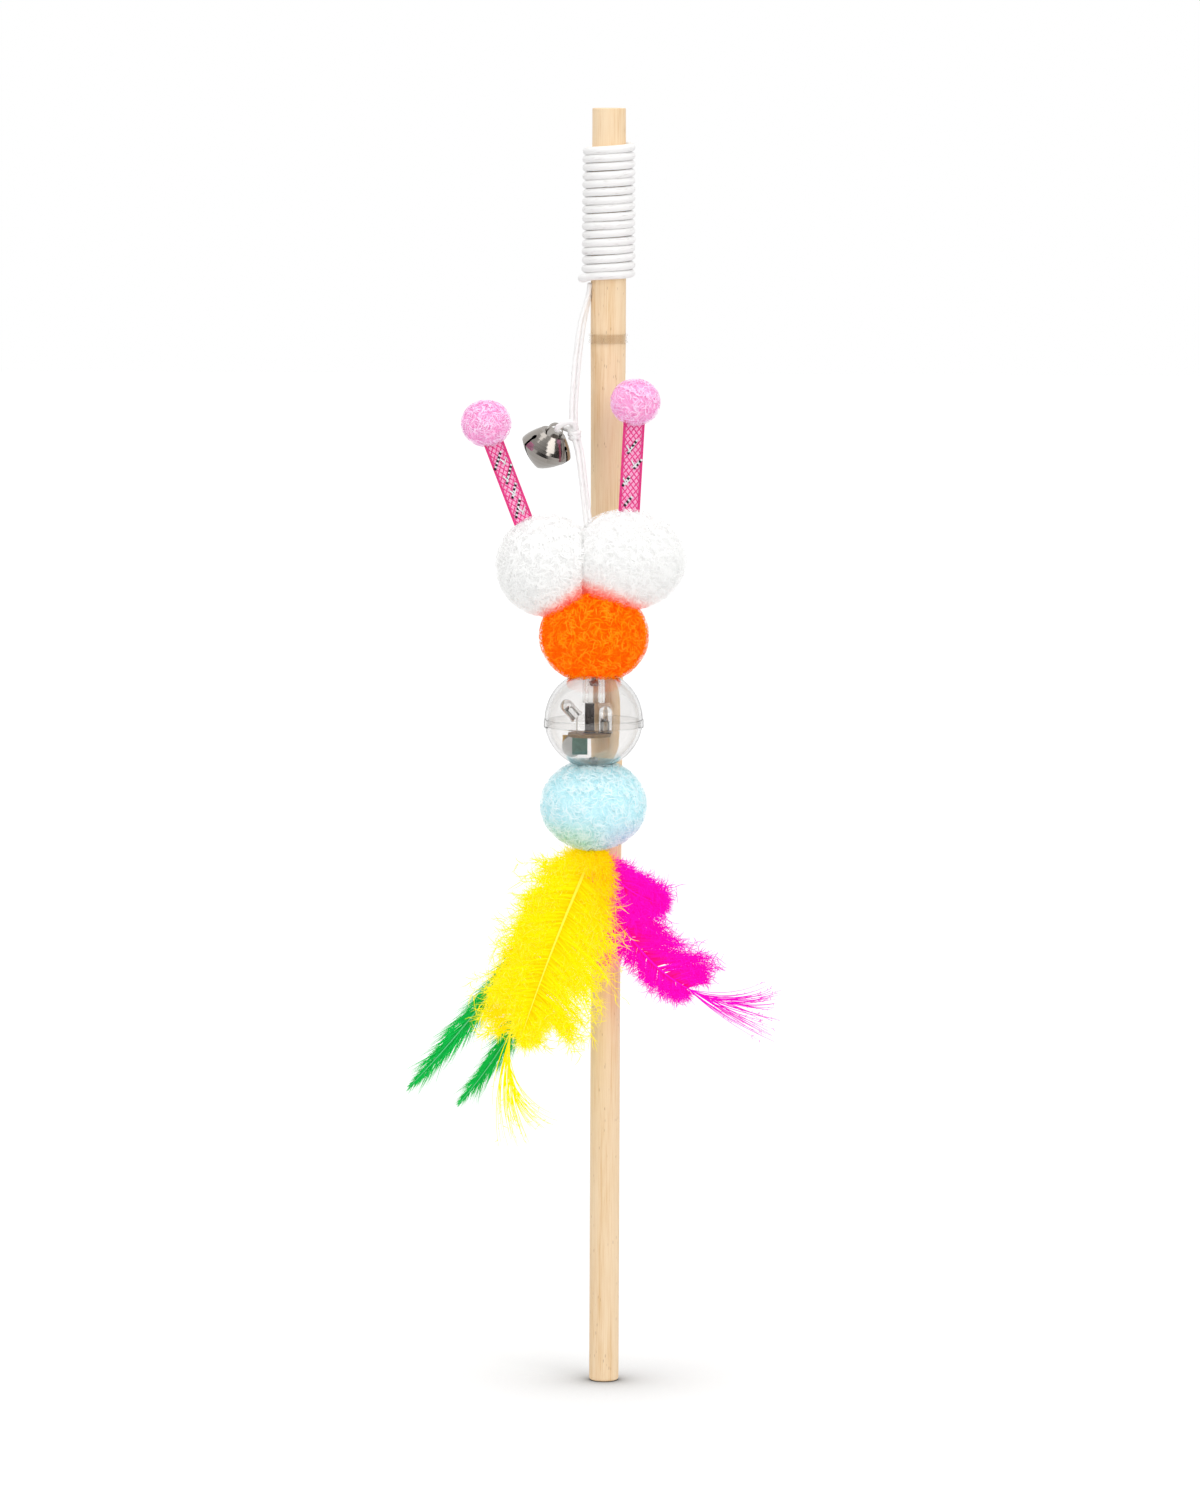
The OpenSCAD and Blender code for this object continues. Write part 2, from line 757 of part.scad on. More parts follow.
// Clear ball: two shells that meet at the belt, the upper one's spigot inside it
socket_r = ball_r - ball_wall / 2;
module at_ball() {
    translate([toy_x, toy_y, ball_z]) children();
}

module ball_upper_shell() {
    color("whitesmoke")
        at_ball()
            difference() {
                union() {
                    difference() {
                        sphere(r = ball_r);
                        sphere(r = ball_r - ball_wall);
                        translate([0, 0, -ball_d])
                            cylinder(r = ball_d, h = ball_d);
                    }
                    difference() {
                        translate([0, 0, -spigot_h])
                            cylinder(r = socket_r - spigot_fit, h = spigot_h);
                        translate([0, 0, -spigot_h - over])
                            cylinder(r = ball_r - ball_wall, h = spigot_h + 2 * over);
                    }
                    intersection() {
                        sphere(r = ball_r - ball_wall / 2);
                        translate([0, 0, boss_end])
                            cylinder(d = boss_d, h = ball_r - boss_end);
                    }
                }
                translate([0, 0, boss_end - over])
                    cylinder(d = boss_bore, h = ball_r - ball_wall - boss_end);
                cylinder(d = core_d + 2 * core_fit, h = ball_d);
            }
}

module ball_lower_shell() {
    color("whitesmoke")
        at_ball()
            difference() {
                union() {
                    difference() {
                        sphere(r = ball_r);
                        cylinder(r = ball_d, h = ball_d);
                    }
                    translate([0, 0, -belt_h])
                        cylinder(r = ball_r + belt_out, h = belt_h);
                }
                sphere(r = ball_r - ball_wall);
                translate([0, 0, -belt_h + (belt_h - spigot_h) / 2])
                    cylinder(r = socket_r, h = belt_h);
                translate([0, 0, -ball_d])
                    cylinder(d = core_d + 2 * core_fit, h = ball_d);
            }
}

// Knotted end of cord in the ball's lower hole
module ball_lower_knot() {
    stub = ball_wall + core_knot_d / 2;
    color("white")
        at_ball()
            translate([0, 0, -ball_r]) {
                cylinder(d = core_d, h = stub);
                translate([0, 0, stub]) sphere(d = core_knot_d);
            }
}

// Light module. The switch stands under the boss, and the board carries the rest
module at_module() {
    at_ball() translate([module_side, 0, 0]) children();
}

module led_board() {
    color("goldenrod")
        at_module()
            translate([0, 0, board_z])
                cylinder(d = board_d, h = board_t);
}

// Lamp: a rimmed foot, a straight body and a domed end
module lamp(length) {
    rim_h = led_d / 5;
    cylinder(d = led_d * 1.12, h = rim_h);
    cylinder(d = led_d, h = length - led_d / 2);
    translate([0, 0, length - led_d / 2]) sphere(d = led_d);
}

module led_right() {
    color("lightcyan")
        at_module()
            translate([led_side, 0, -board_down])
                lamp(led_h);
}

// The other lamp leans outwards on its two bent leads
module led_left() {
    color("mistyrose")
        at_module()
            translate([tilted_led_side, 0, lead_d]) {
                rotate([0, -led_tilt, 0]) lamp(led_tilted_len);
                for (side = [-1, 1])
                    translate([0, side * led_d / 4, -lead_d - board_down])
                        cylinder(d = lead_d, h = board_down + 2 * lead_d);
            }
}

// Spring switch: a slim can with a flared foot
module spring_switch() {
    color("dimgray")
        at_module()
            translate([0, 0, -board_down]) {
                cylinder(d1 = switch_d * 1.4, d2 = switch_d, h = switch_d / 3);
                cylinder(d = switch_d, h = board_down + boss_end - over / 4);
            }
}

// Two button cells on edge, with the clip's middle leaf between them
module battery_cells() {
    color("lightgray")
        at_module()
            for (y = [-cells_deep / 2, cells_deep / 2 - cell_t])
                translate([cell_side, y, cell_z])
                    rotate([-90, 0, 0])
                        cylinder(d = cell_d, h = cell_t);
}

// Holder: a block with a round pocket for the cells and a cheek in front of them
module battery_holder() {
    front = cells_deep / 2 + holder_fit + holder_wall;
    color("seagreen")
        at_module()
            difference() {
                translate([cell_side, -front, board_z - holder_h])
                    cube([holder_w, front + cells_deep / 2, holder_h]);
                translate([cell_side, -cells_deep / 2 - holder_fit, cell_z])
                    rotate([-90, 0, 0])
                        cylinder(d = cell_d + 2 * holder_fit, h = front * 2);
            }
}

// Contact clip: a foot under the board and a leaf that bends down past the cells
module contact_clip() {
    leaf_h = cell_d * 0.6;
    color("gold")
        at_module()
            translate([cell_side - cell_d / 2, cells_deep / 2 + holder_fit, board_z - leaf_h])
                cube([cell_d / 2, clip_t, leaf_h]);
}

module blue_pompom() {
    color("paleturquoise")
        difference() {
            translate([toy_x, toy_y, blue_z]) egg(blue_w, blue_h);
            at_ball() sphere(r = ball_r + belt_out + pompom_gap);
            translate([toy_x, toy_y, crimp_z])
                cylinder(d = core_d + 2 * bore_fit, h = blue_h * 1.2);
            translate(crimp_c)
                cylinder(d = crimp_d + 2 * bore_fit, h = crimp_h + bore_fit);
        }
}

// Cord through the blue pompom, with a last knot inside the crimp
module tail_cord() {
    top = ball_z - ball_r - pivot_gap;
    color("white")
        translate([toy_x, toy_y, crimp_z + crimp_h / 2])
            cylinder(d = core_d, h = top - crimp_z - crimp_h / 2);
}

module feather_crimp() {
    color("dimgray")
        translate(crimp_c)
            difference() {
                cylinder(d = crimp_d, h = crimp_h);
                translate([0, 0, -over])
                    cylinder(d = crimp_d - 2 * crimp_wall, h = crimp_h + over - crimp_wall);
                cylinder(d = core_d + 2 * bore_fit, h = crimp_h + over);
            }
}

// Feather: a lens-shaped vane swept down a course that starts at an angle from
// straight down and turns by a curl, moving back in depth as it goes
function heading(t, lean, curl, power) = lean + curl * pow(t, power);
function course(i, root, length, lean, curl, power) =
    i == 0 ? root :
    let (a = heading((i - 0.5) / stations, lean, curl, power))
        course(i - 1, root, length, lean, curl, power)
        + length / stations * [sin(a), 0, -cos(a)];
module feather(root, length, w, lean, curl, power, shares, back) {
    skin([
        for (i = [0 : stations])
            let (
                t = i / stations,
                a = heading(t, lean, curl, power),
                p = course(i, root, length, lean, curl, power)
                    + [0, back * ease(t / 0.2), 0],
                share = lookup(t, shares),
                across = max(w / 2 * share, quill_d / 2),
                thick = max(vane_t / 2 * min(1, share * 1.6), quill_d / 2)
            )
                [for (k = [0 : ring_sides - 1])
                    p + across * cos(360 * k / ring_sides) * [cos(a), 0, sin(a)]
                        - thick * sin(360 * k / ring_sides) * [0, 1, 0]]
    ]);
}

quill_step = crimp_d / 2 - crimp_wall - quill_d;

module yellow_feather_front() {
    color("yellow")
        feather(crimp_c + [0, -quill_step * 0.8, crimp_h / 6], yellow_front_len, yellow_front_w,
            -24, 6, 1, full_shares, -vane_t * 0.7);
}

module yellow_feather_back() {
    color("gold")
        feather(crimp_c + [-quill_step * 0.3, -quill_step * 0.1, crimp_h / 6], yellow_back_len,
            yellow_back_w, -27, 88, 4, fan_shares, vane_t * 0.55);
}

module green_feather_left() {
    color("mediumseagreen")
        feather(crimp_c + [-quill_step * 0.6, quill_step * 0.85, -moving_gap], green_left_len,
            green_left_w, -34, -10, 2, sword_shares, vane_t * 1.7);
}

module green_feather_inner() {
    color("seagreen")
        feather(crimp_c + [0, quill_step, -moving_gap], green_inner_len,
            green_inner_w, -21, -20, 2, sword_shares, vane_t * 2.8);
}

module magenta_feather_long() {
    color("magenta")
        feather(crimp_c + [quill_step, quill_step * 0.55, -moving_gap], magenta_long_len,
            magenta_long_w, 12, 66, 1, spray_shares, vane_t * 1.7);
}

module magenta_feather_short() {
    color("magenta")
        feather(crimp_c + [quill_step, -quill_step * 0.6, -moving_gap], magenta_short_len,
            magenta_short_w, 30, 45, 1, full_shares, vane_t * 0.15);
}

// Points that the moving joints turn about
echo(lift_at = strand_point(0, -1));
echo(swing_at = line_point(exit_share));
echo(bell_at = loop_hole, bell_axis = bell_turn([0, 0, 1]));
echo(head_at = junction);
echo(left_feeler_at = left_foot, width_way = turn_y(left_lean, turn_z(left_turn, [1, 0, 0])));
echo(right_feeler_at = right_foot, width_way = turn_y(right_lean, turn_z(right_turn, [1, 0, 0])));
echo(ball_at = [toy_x, toy_y, ball_z]);
echo(crimp_at = crimp_c);

dowel();
grip_winding();
retaining_band();
cord_exit();
cord_upper();
bell_knot();
cord_lower();
bell_shell();
bell_shank();
bell_pellet();
white_pompom_left();
white_pompom_right();
antenna_ribbon_left();
antenna_ribbon_right();
pink_pompom_left();
pink_pompom_right();
orange_pompom();
toy_cord();
ball_upper_shell();
ball_lower_shell();
ball_lower_knot();
led_board();
led_left();
led_right();
spring_switch();
battery_cells();
battery_holder();
contact_clip();
blue_pompom();
tail_cord();
feather_crimp();
yellow_feather_front();
yellow_feather_back();
green_feather_left();
green_feather_inner();
magenta_feather_long();
magenta_feather_short();
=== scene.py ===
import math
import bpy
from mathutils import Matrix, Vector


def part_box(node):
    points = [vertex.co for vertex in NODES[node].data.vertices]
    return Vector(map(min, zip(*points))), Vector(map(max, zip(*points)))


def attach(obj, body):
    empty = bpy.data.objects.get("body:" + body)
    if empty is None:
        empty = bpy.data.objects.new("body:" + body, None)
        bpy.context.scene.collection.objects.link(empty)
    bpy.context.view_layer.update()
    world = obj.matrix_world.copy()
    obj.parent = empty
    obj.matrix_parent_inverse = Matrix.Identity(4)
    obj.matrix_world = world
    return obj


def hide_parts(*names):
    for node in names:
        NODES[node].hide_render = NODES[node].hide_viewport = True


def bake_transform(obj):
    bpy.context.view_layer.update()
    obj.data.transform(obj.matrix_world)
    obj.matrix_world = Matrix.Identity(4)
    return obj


bl_info = {
    "name": "Cat teaser wand",
    "version": (1, 0, 0),
    "blender": (4, 5, 0),
    "location": "View3D > Sidebar > Teaser wand",
    "description": "Dresses the packed wand: wood, cord, bell, plush, net ribbon, clear ball and feathers",
    "category": "Object",
}

import bpy
import bmesh
import numpy as np
from bpy.props import FloatProperty, FloatVectorProperty, IntProperty, PointerProperty
from mathutils import Matrix, Vector

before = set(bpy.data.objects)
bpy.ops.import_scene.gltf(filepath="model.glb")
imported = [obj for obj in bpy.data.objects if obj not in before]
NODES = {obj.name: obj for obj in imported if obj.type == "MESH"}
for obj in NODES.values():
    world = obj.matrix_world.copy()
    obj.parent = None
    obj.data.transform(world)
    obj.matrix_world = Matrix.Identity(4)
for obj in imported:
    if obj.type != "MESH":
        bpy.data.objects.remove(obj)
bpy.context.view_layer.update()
MM = 0.001


def linear(code):
    """Linear colour of an sRGB hex value."""
    parts = [int(code[i : i + 2], 16) / 255 for i in (1, 3, 5)]
    return tuple(c / 12.92 if c <= 0.04045 else ((c + 0.055) / 1.055) ** 2.4 for c in parts)


def tint(name, code):
    return FloatVectorProperty(name=name, description=f"Colour of the {name.lower()}",
                               subtype="COLOR", size=3, min=0, max=1, default=linear(code))


def millimetres(name, description, default):
    return FloatProperty(name=name, description=description, default=default * MM, unit="LENGTH",
                         min=0, precision=5)


# --- Settings ---------------------------------------------------------------------------


class StageSettings(bpy.types.PropertyGroup):
    distance: FloatProperty(name="Camera distance", description="From the camera to the middle of the wand",
                            default=2.3, unit="LENGTH")
    elevation: FloatProperty(name="Camera elevation", description="Angle of the view below level",
                             default=math.radians(6), subtype="ANGLE")
    roll: FloatProperty(name="Camera roll", description="Lean of the camera", default=math.radians(0.243),
                        subtype="ANGLE")
    lens: FloatProperty(name="Lens", description="Focal length for a sensor 24 mm high", default=117.55)
    ambient: FloatProperty(name="Ambient", description="Strength of the light from all round", default=0.7)
    key: FloatProperty(name="Key lamp", description="Power of the large lamp at the right", default=9.0)
    fill: FloatProperty(name="Fill lamp", description="Power of the large lamp at the left", default=3.5)
    top: FloatProperty(name="Top lamp", description="Power of the lamp overhead", default=6.0)


class WoodSettings(bpy.types.PropertyGroup):
    light: tint("Light grain", "#FADFBA")
    dark: tint("Dark grain", "#E9C18C")
    pore: tint("Pores", "#9A6638")
    streak: millimetres("Streak width", "Width of a streak of grain", 0.42)


class CordSettings(bpy.types.PropertyGroup):
    colour: tint("Cord", "#F8F7F6")
    # The groove colour is painted shade between the cord's fibres
    groove_shade: tint("Painted shade in the grooves of the cord", "#D2CCCA")
    wound_d: millimetres("Wound cord", "Thickness of the cord wound on the dowel", 2.9)
    wound_h: millimetres("Wound height", "Height of the wound cord between its neighbours", 2.56)
    strand_d: millimetres("Strand", "Diameter of each hanging strand", 1.5)
    lay: millimetres("Lay", "Length of one turn of the strand's yarns", 7)


class PlushSettings(bpy.types.PropertyGroup):
    # Each pile's shade colour is painted shade deep in the pile; the colour of the hair ends is a painted
    # highlight
    white: tint("White plush", "#FAFAF9")
    # Painted bounce light: the orange pompom's colour on the white pile, and the feathers' colours on the blue
    # one
    orange_bounce: tint("Painted orange bounce light on the white plush", "#FF8F7C")
    amber: tint("Painted highlight on the ends of the orange hairs", "#FF9A1C")
    orange: tint("Orange plush", "#FF8400")
    ember: tint("Painted shade of the orange plush", "#FA6400")
    blue: tint("Blue plush", "#E4FCFF")
    lime_bounce: tint("Painted green bounce light on the blue plush", "#D0E8C4")
    lilac_bounce: tint("Painted lilac bounce light on the blue plush", "#E2DCF2")
    pink: tint("Pink plush", "#FFD2F4")
    rose: tint("Painted shade of the pink plush", "#FCAEDA")
    hairs: IntProperty(name="Hairs", description="Hairs on each large pompom", default=24000, min=1000)
    pile: millimetres("Pile", "Length of the pile that shows", 2.3)
    locks: IntProperty(name="Locks", description="Curved locks on each large pompom", default=3000, min=0)
    hair_w: millimetres("Hair width", "Width of a hair, drawn as coarse as it needs to show", 0.16)


class FeelerSettings(bpy.types.PropertyGroup):
    net: tint("Net", "#F0308F")
    edge: tint("Ribbon edge", "#E8207F")
    veil: tint("Veil behind the net", "#FFB4DA")
    silver: tint("Metallic thread", "#F4F4F6")
    black: tint("Dark thread", "#17131A")
    thread: millimetres("Thread", "Width of the net's threads", 0.48)
    selvedge: millimetres("Selvedge", "Width of the ribbon's solid edge", 0.8)


class ClearSettings(bpy.types.PropertyGroup):
    shell: tint("Clear shell", "#F6F5F4")
    band: tint("Clear band", "#FFFBF5")
    board: tint("Circuit board", "#A98A5E")
    holder: tint("Battery holder", "#5C8F7C")
    brass: tint("Brass", "#D9AE5C")
    steel: tint("Steel", "#B9B8B4")
    can: tint("Switch can", "#55504E")


class BellSettings(bpy.types.PropertyGroup):
    nickel: tint("Nickel", "#A09A94")
    roughness: FloatProperty(name="Roughness", description="Roughness of the plating", default=0.13,
                             min=0, max=1)


class FeatherSettings(bpy.types.PropertyGroup):
    # The shade colours are painted shade on the feathers
    yellow: tint("Yellow feather", "#FFEF00")
    lemon: tint("Tips and quills of the yellow feather", "#FFF65A")
    amber: tint("Painted shade of the yellow feather", "#FFD800")
    green: tint("Green feather", "#14C050")
    mint: tint("Tips of the green feather", "#6FCB93")
    magenta: tint("Magenta feather", "#FF0CC8")
    crimson: tint("Painted shade of the magenta feather", "#F2107C")
    barb_w: millimetres("Barb width", "Width of a barb at its foot", 0.46)
    quill_d: millimetres("Quill", "Thickness of a quill at its foot", 1.0)


GROUPS = {
    "wand_stage": StageSettings, "wand_wood": WoodSettings, "wand_cord": CordSettings,
    "wand_plush": PlushSettings, "wand_feeler": FeelerSettings, "wand_clear": ClearSettings,
    "wand_bell": BellSettings, "wand_feather": FeatherSettings,
}

# --- Nodes and materials ----------------------------------------------------------------


def add(tree, kind, inputs=None, **settings):
    """A node with its settings, its inputs set to values or linked to sockets."""
    node = tree.nodes.new(kind)
    for key, value in settings.items():
        setattr(node, key, value)
    for socket, value in (inputs or {}).items():
        if isinstance(value, bpy.types.NodeSocket):
            tree.links.new(value, node.inputs[socket])
        else:
            node.inputs[socket].default_value = value
    return node


def rgba(colour):
    return (*colour[:3], 1.0)


def surface(name, **inputs):
    """A material of one Principled shader: (material, its tree, the shader)."""
    material = bpy.data.materials.new(name)
    material.use_nodes = True
    tree = material.node_tree
    tree.nodes.clear()
    shader = add(tree, "ShaderNodeBsdfPrincipled",
                 {key.replace("_", " "): value for key, value in inputs.items()})
    add(tree, "ShaderNodeOutputMaterial", {"Surface": shader.outputs[0]})
    return material, tree, shader


def ramp(tree, factor, *stops):
    """A colour ramp through (place, colour) stops."""
    node = add(tree, "ShaderNodeValToRGB", {"Fac": factor})
    while len(node.color_ramp.elements) < len(stops):
        node.color_ramp.elements.new(0.5)
    for element, (place, colour) in zip(node.color_ramp.elements, stops):
        element.position = place
        element.color = rgba(colour)
    return node.outputs["Color"]


def place_in_mm(tree):
    """The point on the piece, in millimetres of the shared frame."""
    where = add(tree, "ShaderNodeTexCoord").outputs["Object"]
    return add(tree, "ShaderNodeVectorMath", {0: where, "Scale": 1000.0}, operation="SCALE").outputs[0]


def stretched(tree, vector, size):
    """The vector divided by one size or by three, in millimetres, for a pattern of that size."""
    sizes = size if isinstance(size, tuple) else (size,) * 3
    return add(tree, "ShaderNodeVectorMath", {0: vector, 1: sizes}, operation="DIVIDE").outputs[0]


def noise(tree, vector, size, detail=2.0, roughness=0.5):
    return add(tree, "ShaderNodeTexNoise", {"Vector": stretched(tree, vector, size), "Scale": 1.0,
                                            "Detail": detail, "Roughness": roughness}).outputs[0]


def cells(tree, vector, size):
    """The distance to the nearest of scattered points."""
    return add(tree, "ShaderNodeTexVoronoi", {"Vector": stretched(tree, vector, size),
                                              "Scale": 1.0}).outputs["Distance"]


def maths(tree, operation, *values, clamp=False):
    return add(tree, "ShaderNodeMath", dict(enumerate(values)), operation=operation,
               use_clamp=clamp).outputs[0]


def weighted(tree, *pairs):
    """The sum of sockets, each times its weight."""
    total, *others = [maths(tree, "MULTIPLY", *pair) for pair in pairs]
    for part in others:
        total = maths(tree, "ADD", total, part)
    return total


def smooth(tree, value, low, high):
    """0 below low, 1 above high, with soft ends."""
    return add(tree, "ShaderNodeMapRange", {"Value": value, "From Min": low, "From Max": high},
               interpolation_type="SMOOTHSTEP").outputs[0]


def region(strength, **edges):
    """A tinted region: along each axis named it rises from nothing at one place to its strength at another."""

    def factor(tree, where):
        axes = add(tree, "ShaderNodeSeparateXYZ", {0: where}).outputs
        value = strength
        for axis, (start, end) in edges.items():
            value = maths(tree, "MULTIPLY", smooth(tree, axes[axis], start, end), value)
        return value

    return factor


def mid(a, b, share):
    """The colour at a share of the way from one to another."""
    return tuple(x + (y - x) * share for x, y in zip(a, b))


def mixed(tree, factor, a, b):
    node = add(tree, "ShaderNodeMix", {0: factor}, data_type="RGBA")
    for i, value in ((6, a), (7, b)):
        if isinstance(value, bpy.types.NodeSocket):
            tree.links.new(value, node.inputs[i])
        else:
            node.inputs[i].default_value = rgba(value)
    return node.outputs[2]


def tone_of(tree):
    """The tone stored at each point of a mesh."""
    return add(tree, "ShaderNodeAttribute", attribute_name="tone").outputs["Fac"]


def bump(tree, shader, height, depth_mm):
    node = add(tree, "ShaderNodeBump", {"Height": height, "Distance": depth_mm * MM, "Strength": 1.0})
    tree.links.new(node.outputs[0], shader.inputs["Normal"])


def paint(tree, shader, colour, light=0.0):
    """The surface's colour, with a painted glow in the same colour: an emission that stands in for the light
    thin fibres pass on to each other.
    """
    tree.links.new(colour, shader.inputs["Base Color"])
    if light:
        tree.links.new(colour, shader.inputs["Emission Color"])
        shader.inputs["Emission Strength"].default_value = light


def rubberwood(s):
    # Rubberwood dowel, turned and sanded, bare. Long pale streaks with short dark pores.
    material, tree, shader = surface("rubberwood_sanded", Roughness=0.62, IOR=1.5)
    where = place_in_mm(tree)
    streak = s.streak / MM
    fine = noise(tree, where, (0.24, 0.24, 11))
    level = weighted(tree, (noise(tree, where, (streak, streak, streak * 30), 4.0, 0.68), 0.5), (fine, 0.25),
                     (noise(tree, where, (2.6, 2.6, 70), 1.0), 0.35))
    colour = ramp(tree, level, (0.4, s.dark), (0.54, mid(s.dark, s.light, 0.75)), (0.64, s.light))
    # Pores 0.2 mm wide and about 1.5 mm long, drawn twice as wide to show
    near = smooth(tree, cells(tree, where, (0.62, 0.62, 4.0)), 0.19, 0.1)
    rare = smooth(tree, noise(tree, where, (2, 2, 7)), 0.5, 0.6)
    pores = maths(tree, "MULTIPLY", near, rare)
    paint(tree, shader, mixed(tree, maths(tree, "MULTIPLY", pores, 0.6), colour, s.pore))
    bump(tree, shader, maths(tree, "SUBTRACT", fine, pores), 0.04)
    return material


def spun_cord(s):
    # Bleached polyester cord, spun and lightly waxed. Fine fibres run along it, with a soft shine. Its grey low
    # colour is painted shade in the grooves between the fibres.
    material, tree, shader = surface("polyester_cord_spun", Roughness=0.5, IOR=1.5, Sheen_Weight=0.25)
    uv = add(tree, "ShaderNodeUVMap", uv_map="UVMap").outputs[0]
    yarns, fibre = noise(tree, uv, (9.0, 0.09, 1)), noise(tree, uv, (2.2, 0.035, 1), 1.0)
    level = weighted(tree, (yarns, 0.6), (fibre, 0.4))
    paint(tree, shader, ramp(tree, level, (0.3, s.groove_shade), (0.42, s.colour), (1.0, s.colour)))
    bump(tree, shader, level, 0.05)
    return material


def plush(name, base, shade, tip, bounce_tints=(), light=0.08):
    # Acrylic yarn, cut and brushed to a dense pile. Matt. The shade colour is painted shade deep in the pile
    # and between the tufts, the tip colour is a painted highlight on the hair ends, and light is a painted
    # glow.
    # (colour, region) pairs: painted bounce light, a neighbour's colour laid on a part of the pile
    material, tree, shader = surface(name, Roughness=0.95, IOR=1.15)
    where = place_in_mm(tree)
    level = weighted(tree, (tone_of(tree), 0.75), (noise(tree, where, 3.2, 3.0, 0.65), 0.35))
    colour = ramp(tree, level, (0.2, shade), (0.6, base), (0.95, tip))
    for bounce_colour, factor in bounce_tints:
        colour = mixed(tree, factor(tree, where), colour, bounce_colour)
    paint(tree, shader, colour, light)
    return material


def dyed_nylon(name, shade, colour, grain, shade_to, depth, **finish):
    # Nylon, knitted as a net and dyed. Round threads with a soft shine, a little uneven in colour.
    material, tree, shader = surface(name, IOR=1.53, **finish)
    uneven = noise(tree, place_in_mm(tree), grain)
    paint(tree, shader, ramp(tree, uneven, (shade_to, shade), (0.6, colour)))
    bump(tree, shader, uneven, depth)
    return material


def foil_thread(name, colour, metallic, roughness):
    # Polyester film, metallised and slit. It glints from facet to facet.
    material, tree, shader = surface(name, Metallic=metallic, Roughness=roughness, Base_Color=rgba(colour))
    bump(tree, shader, cells(tree, place_in_mm(tree), 0.5), 0.08)
    return material


def clear_plastic(name, colour, roughness, ior, rim_shade=1.0):
    # Clear plastic, moulded, with faint flow marks. Where it is seen edge-on its colour turns grey: painted
    # shade along its rim.
    material, tree, shader = surface(name, Base_Color=rgba(colour), Roughness=roughness, IOR=ior,
                                     Transmission_Weight=1.0)
    bump(tree, shader, noise(tree, place_in_mm(tree), 6, 1.0), 0.05)
    facing = add(tree, "ShaderNodeLayerWeight", {"Blend": 0.5}).outputs["Facing"]
    paint(tree, shader, ramp(tree, facing, (0.2, colour), (0.7, mid(colour, (0.5, 0.5, 0.5), 0.2 * rim_shade)),
                             (1.0, mid(colour, (0.35, 0.35, 0.36), 0.8 * rim_shade))))
    return material


def plated(name, colour, roughness, size=0.7, depth=0.01):
    # Metal with a thin plate or a drawn finish. Broad reflections with faint ripples.
    material, tree, shader = surface(name, Base_Color=rgba(colour), Metallic=1.0, Roughness=roughness)
    ripples = noise(tree, place_in_mm(tree), size)
    uneven = add(tree, "ShaderNodeMapRange", {"Value": ripples, "To Min": roughness * 0.7,
                                              "To Max": roughness * 1.4})
    tree.links.new(uneven.outputs[0], shader.inputs["Roughness"])
    bump(tree, shader, ripples, depth)
    return material


def moulded(name, colour, dark, roughness, size):
    # Moulded or laminated plastic. Slightly uneven colour and a satin skin.
    material, tree, shader = surface(name, Roughness=roughness, IOR=1.5)
    grit = noise(tree, place_in_mm(tree), size, 3.0)
    paint(tree, shader, ramp(tree, grit, (0.35, dark), (0.6, colour)))
    bump(tree, shader, grit, 0.03)
    return material


def dyed_feather(name, base, shade, pale, shaded=None, light=0.165):
    # Turkey down, dyed. Matt barbs, thinner and paler at their tips. The shade colour is painted shade, deepest
    # at the quill where the tone is low, and light is a painted glow.
    # shaded: the region where painted shade covers the base colour
    material, tree, shader = surface(name, Roughness=0.8, IOR=1.2)
    colour = ramp(tree, tone_of(tree), (0.0, shade), (0.35, base), (0.8, base), (1.0, pale))
    if shaded:
        colour = mixed(tree, shaded(tree, place_in_mm(tree)), colour, shade)
    paint(tree, shader, colour, light)
    return material


# --- Mesh tools -------------------------------------------------------------------------


def piece_of(name, points, faces, material, body, uv=None, tone=None):
    """A mesh piece from points in millimetres, in place on its body."""
    mesh = bpy.data.meshes.new(name)
    mesh.from_pydata((np.asarray(points, float) * MM).tolist(), [], faces)
    if uv is not None:
        layer = mesh.uv_layers.new(name="UVMap")
        layer.data.foreach_set("uv", np.asarray(uv, np.float32).ravel())
    if tone is not None:
        attribute = mesh.attributes.new("tone", "FLOAT", "POINT")
        attribute.data.foreach_set("value", np.asarray(tone, np.float32))
    mesh.shade_smooth()
    mesh.materials.append(material)
    piece = bpy.data.objects.new(name, mesh)
    bpy.context.scene.collection.objects.link(piece)
    if body:
        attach(piece, body)
    return piece


def unit(v):
    v = np.asarray(v, float)
    return v / np.maximum(np.linalg.norm(v, axis=-1, keepdims=True), 1e-12)


def soft_step(x):
    """0 below 0, 1 above 1, with soft ends."""
    x = np.clip(x, 0, 1)
    return x * x * (3 - 2 * x)


def frames_along(line):
    """Way, side and normal at each point of a line, carried along without twisting."""
    way = unit(np.gradient(line, axis=0))
    side = np.cross(way[0], [0, 1, 0] if abs(way[0][1]) < 0.9 else [1, 0, 0])
    sides = []
    for w in way:
        side = side - w * (side @ w)
        side /= np.linalg.norm(side)
        sides.append(side.copy())
    sides = np.array(sides)
    return way, sides, np.cross(way, sides)


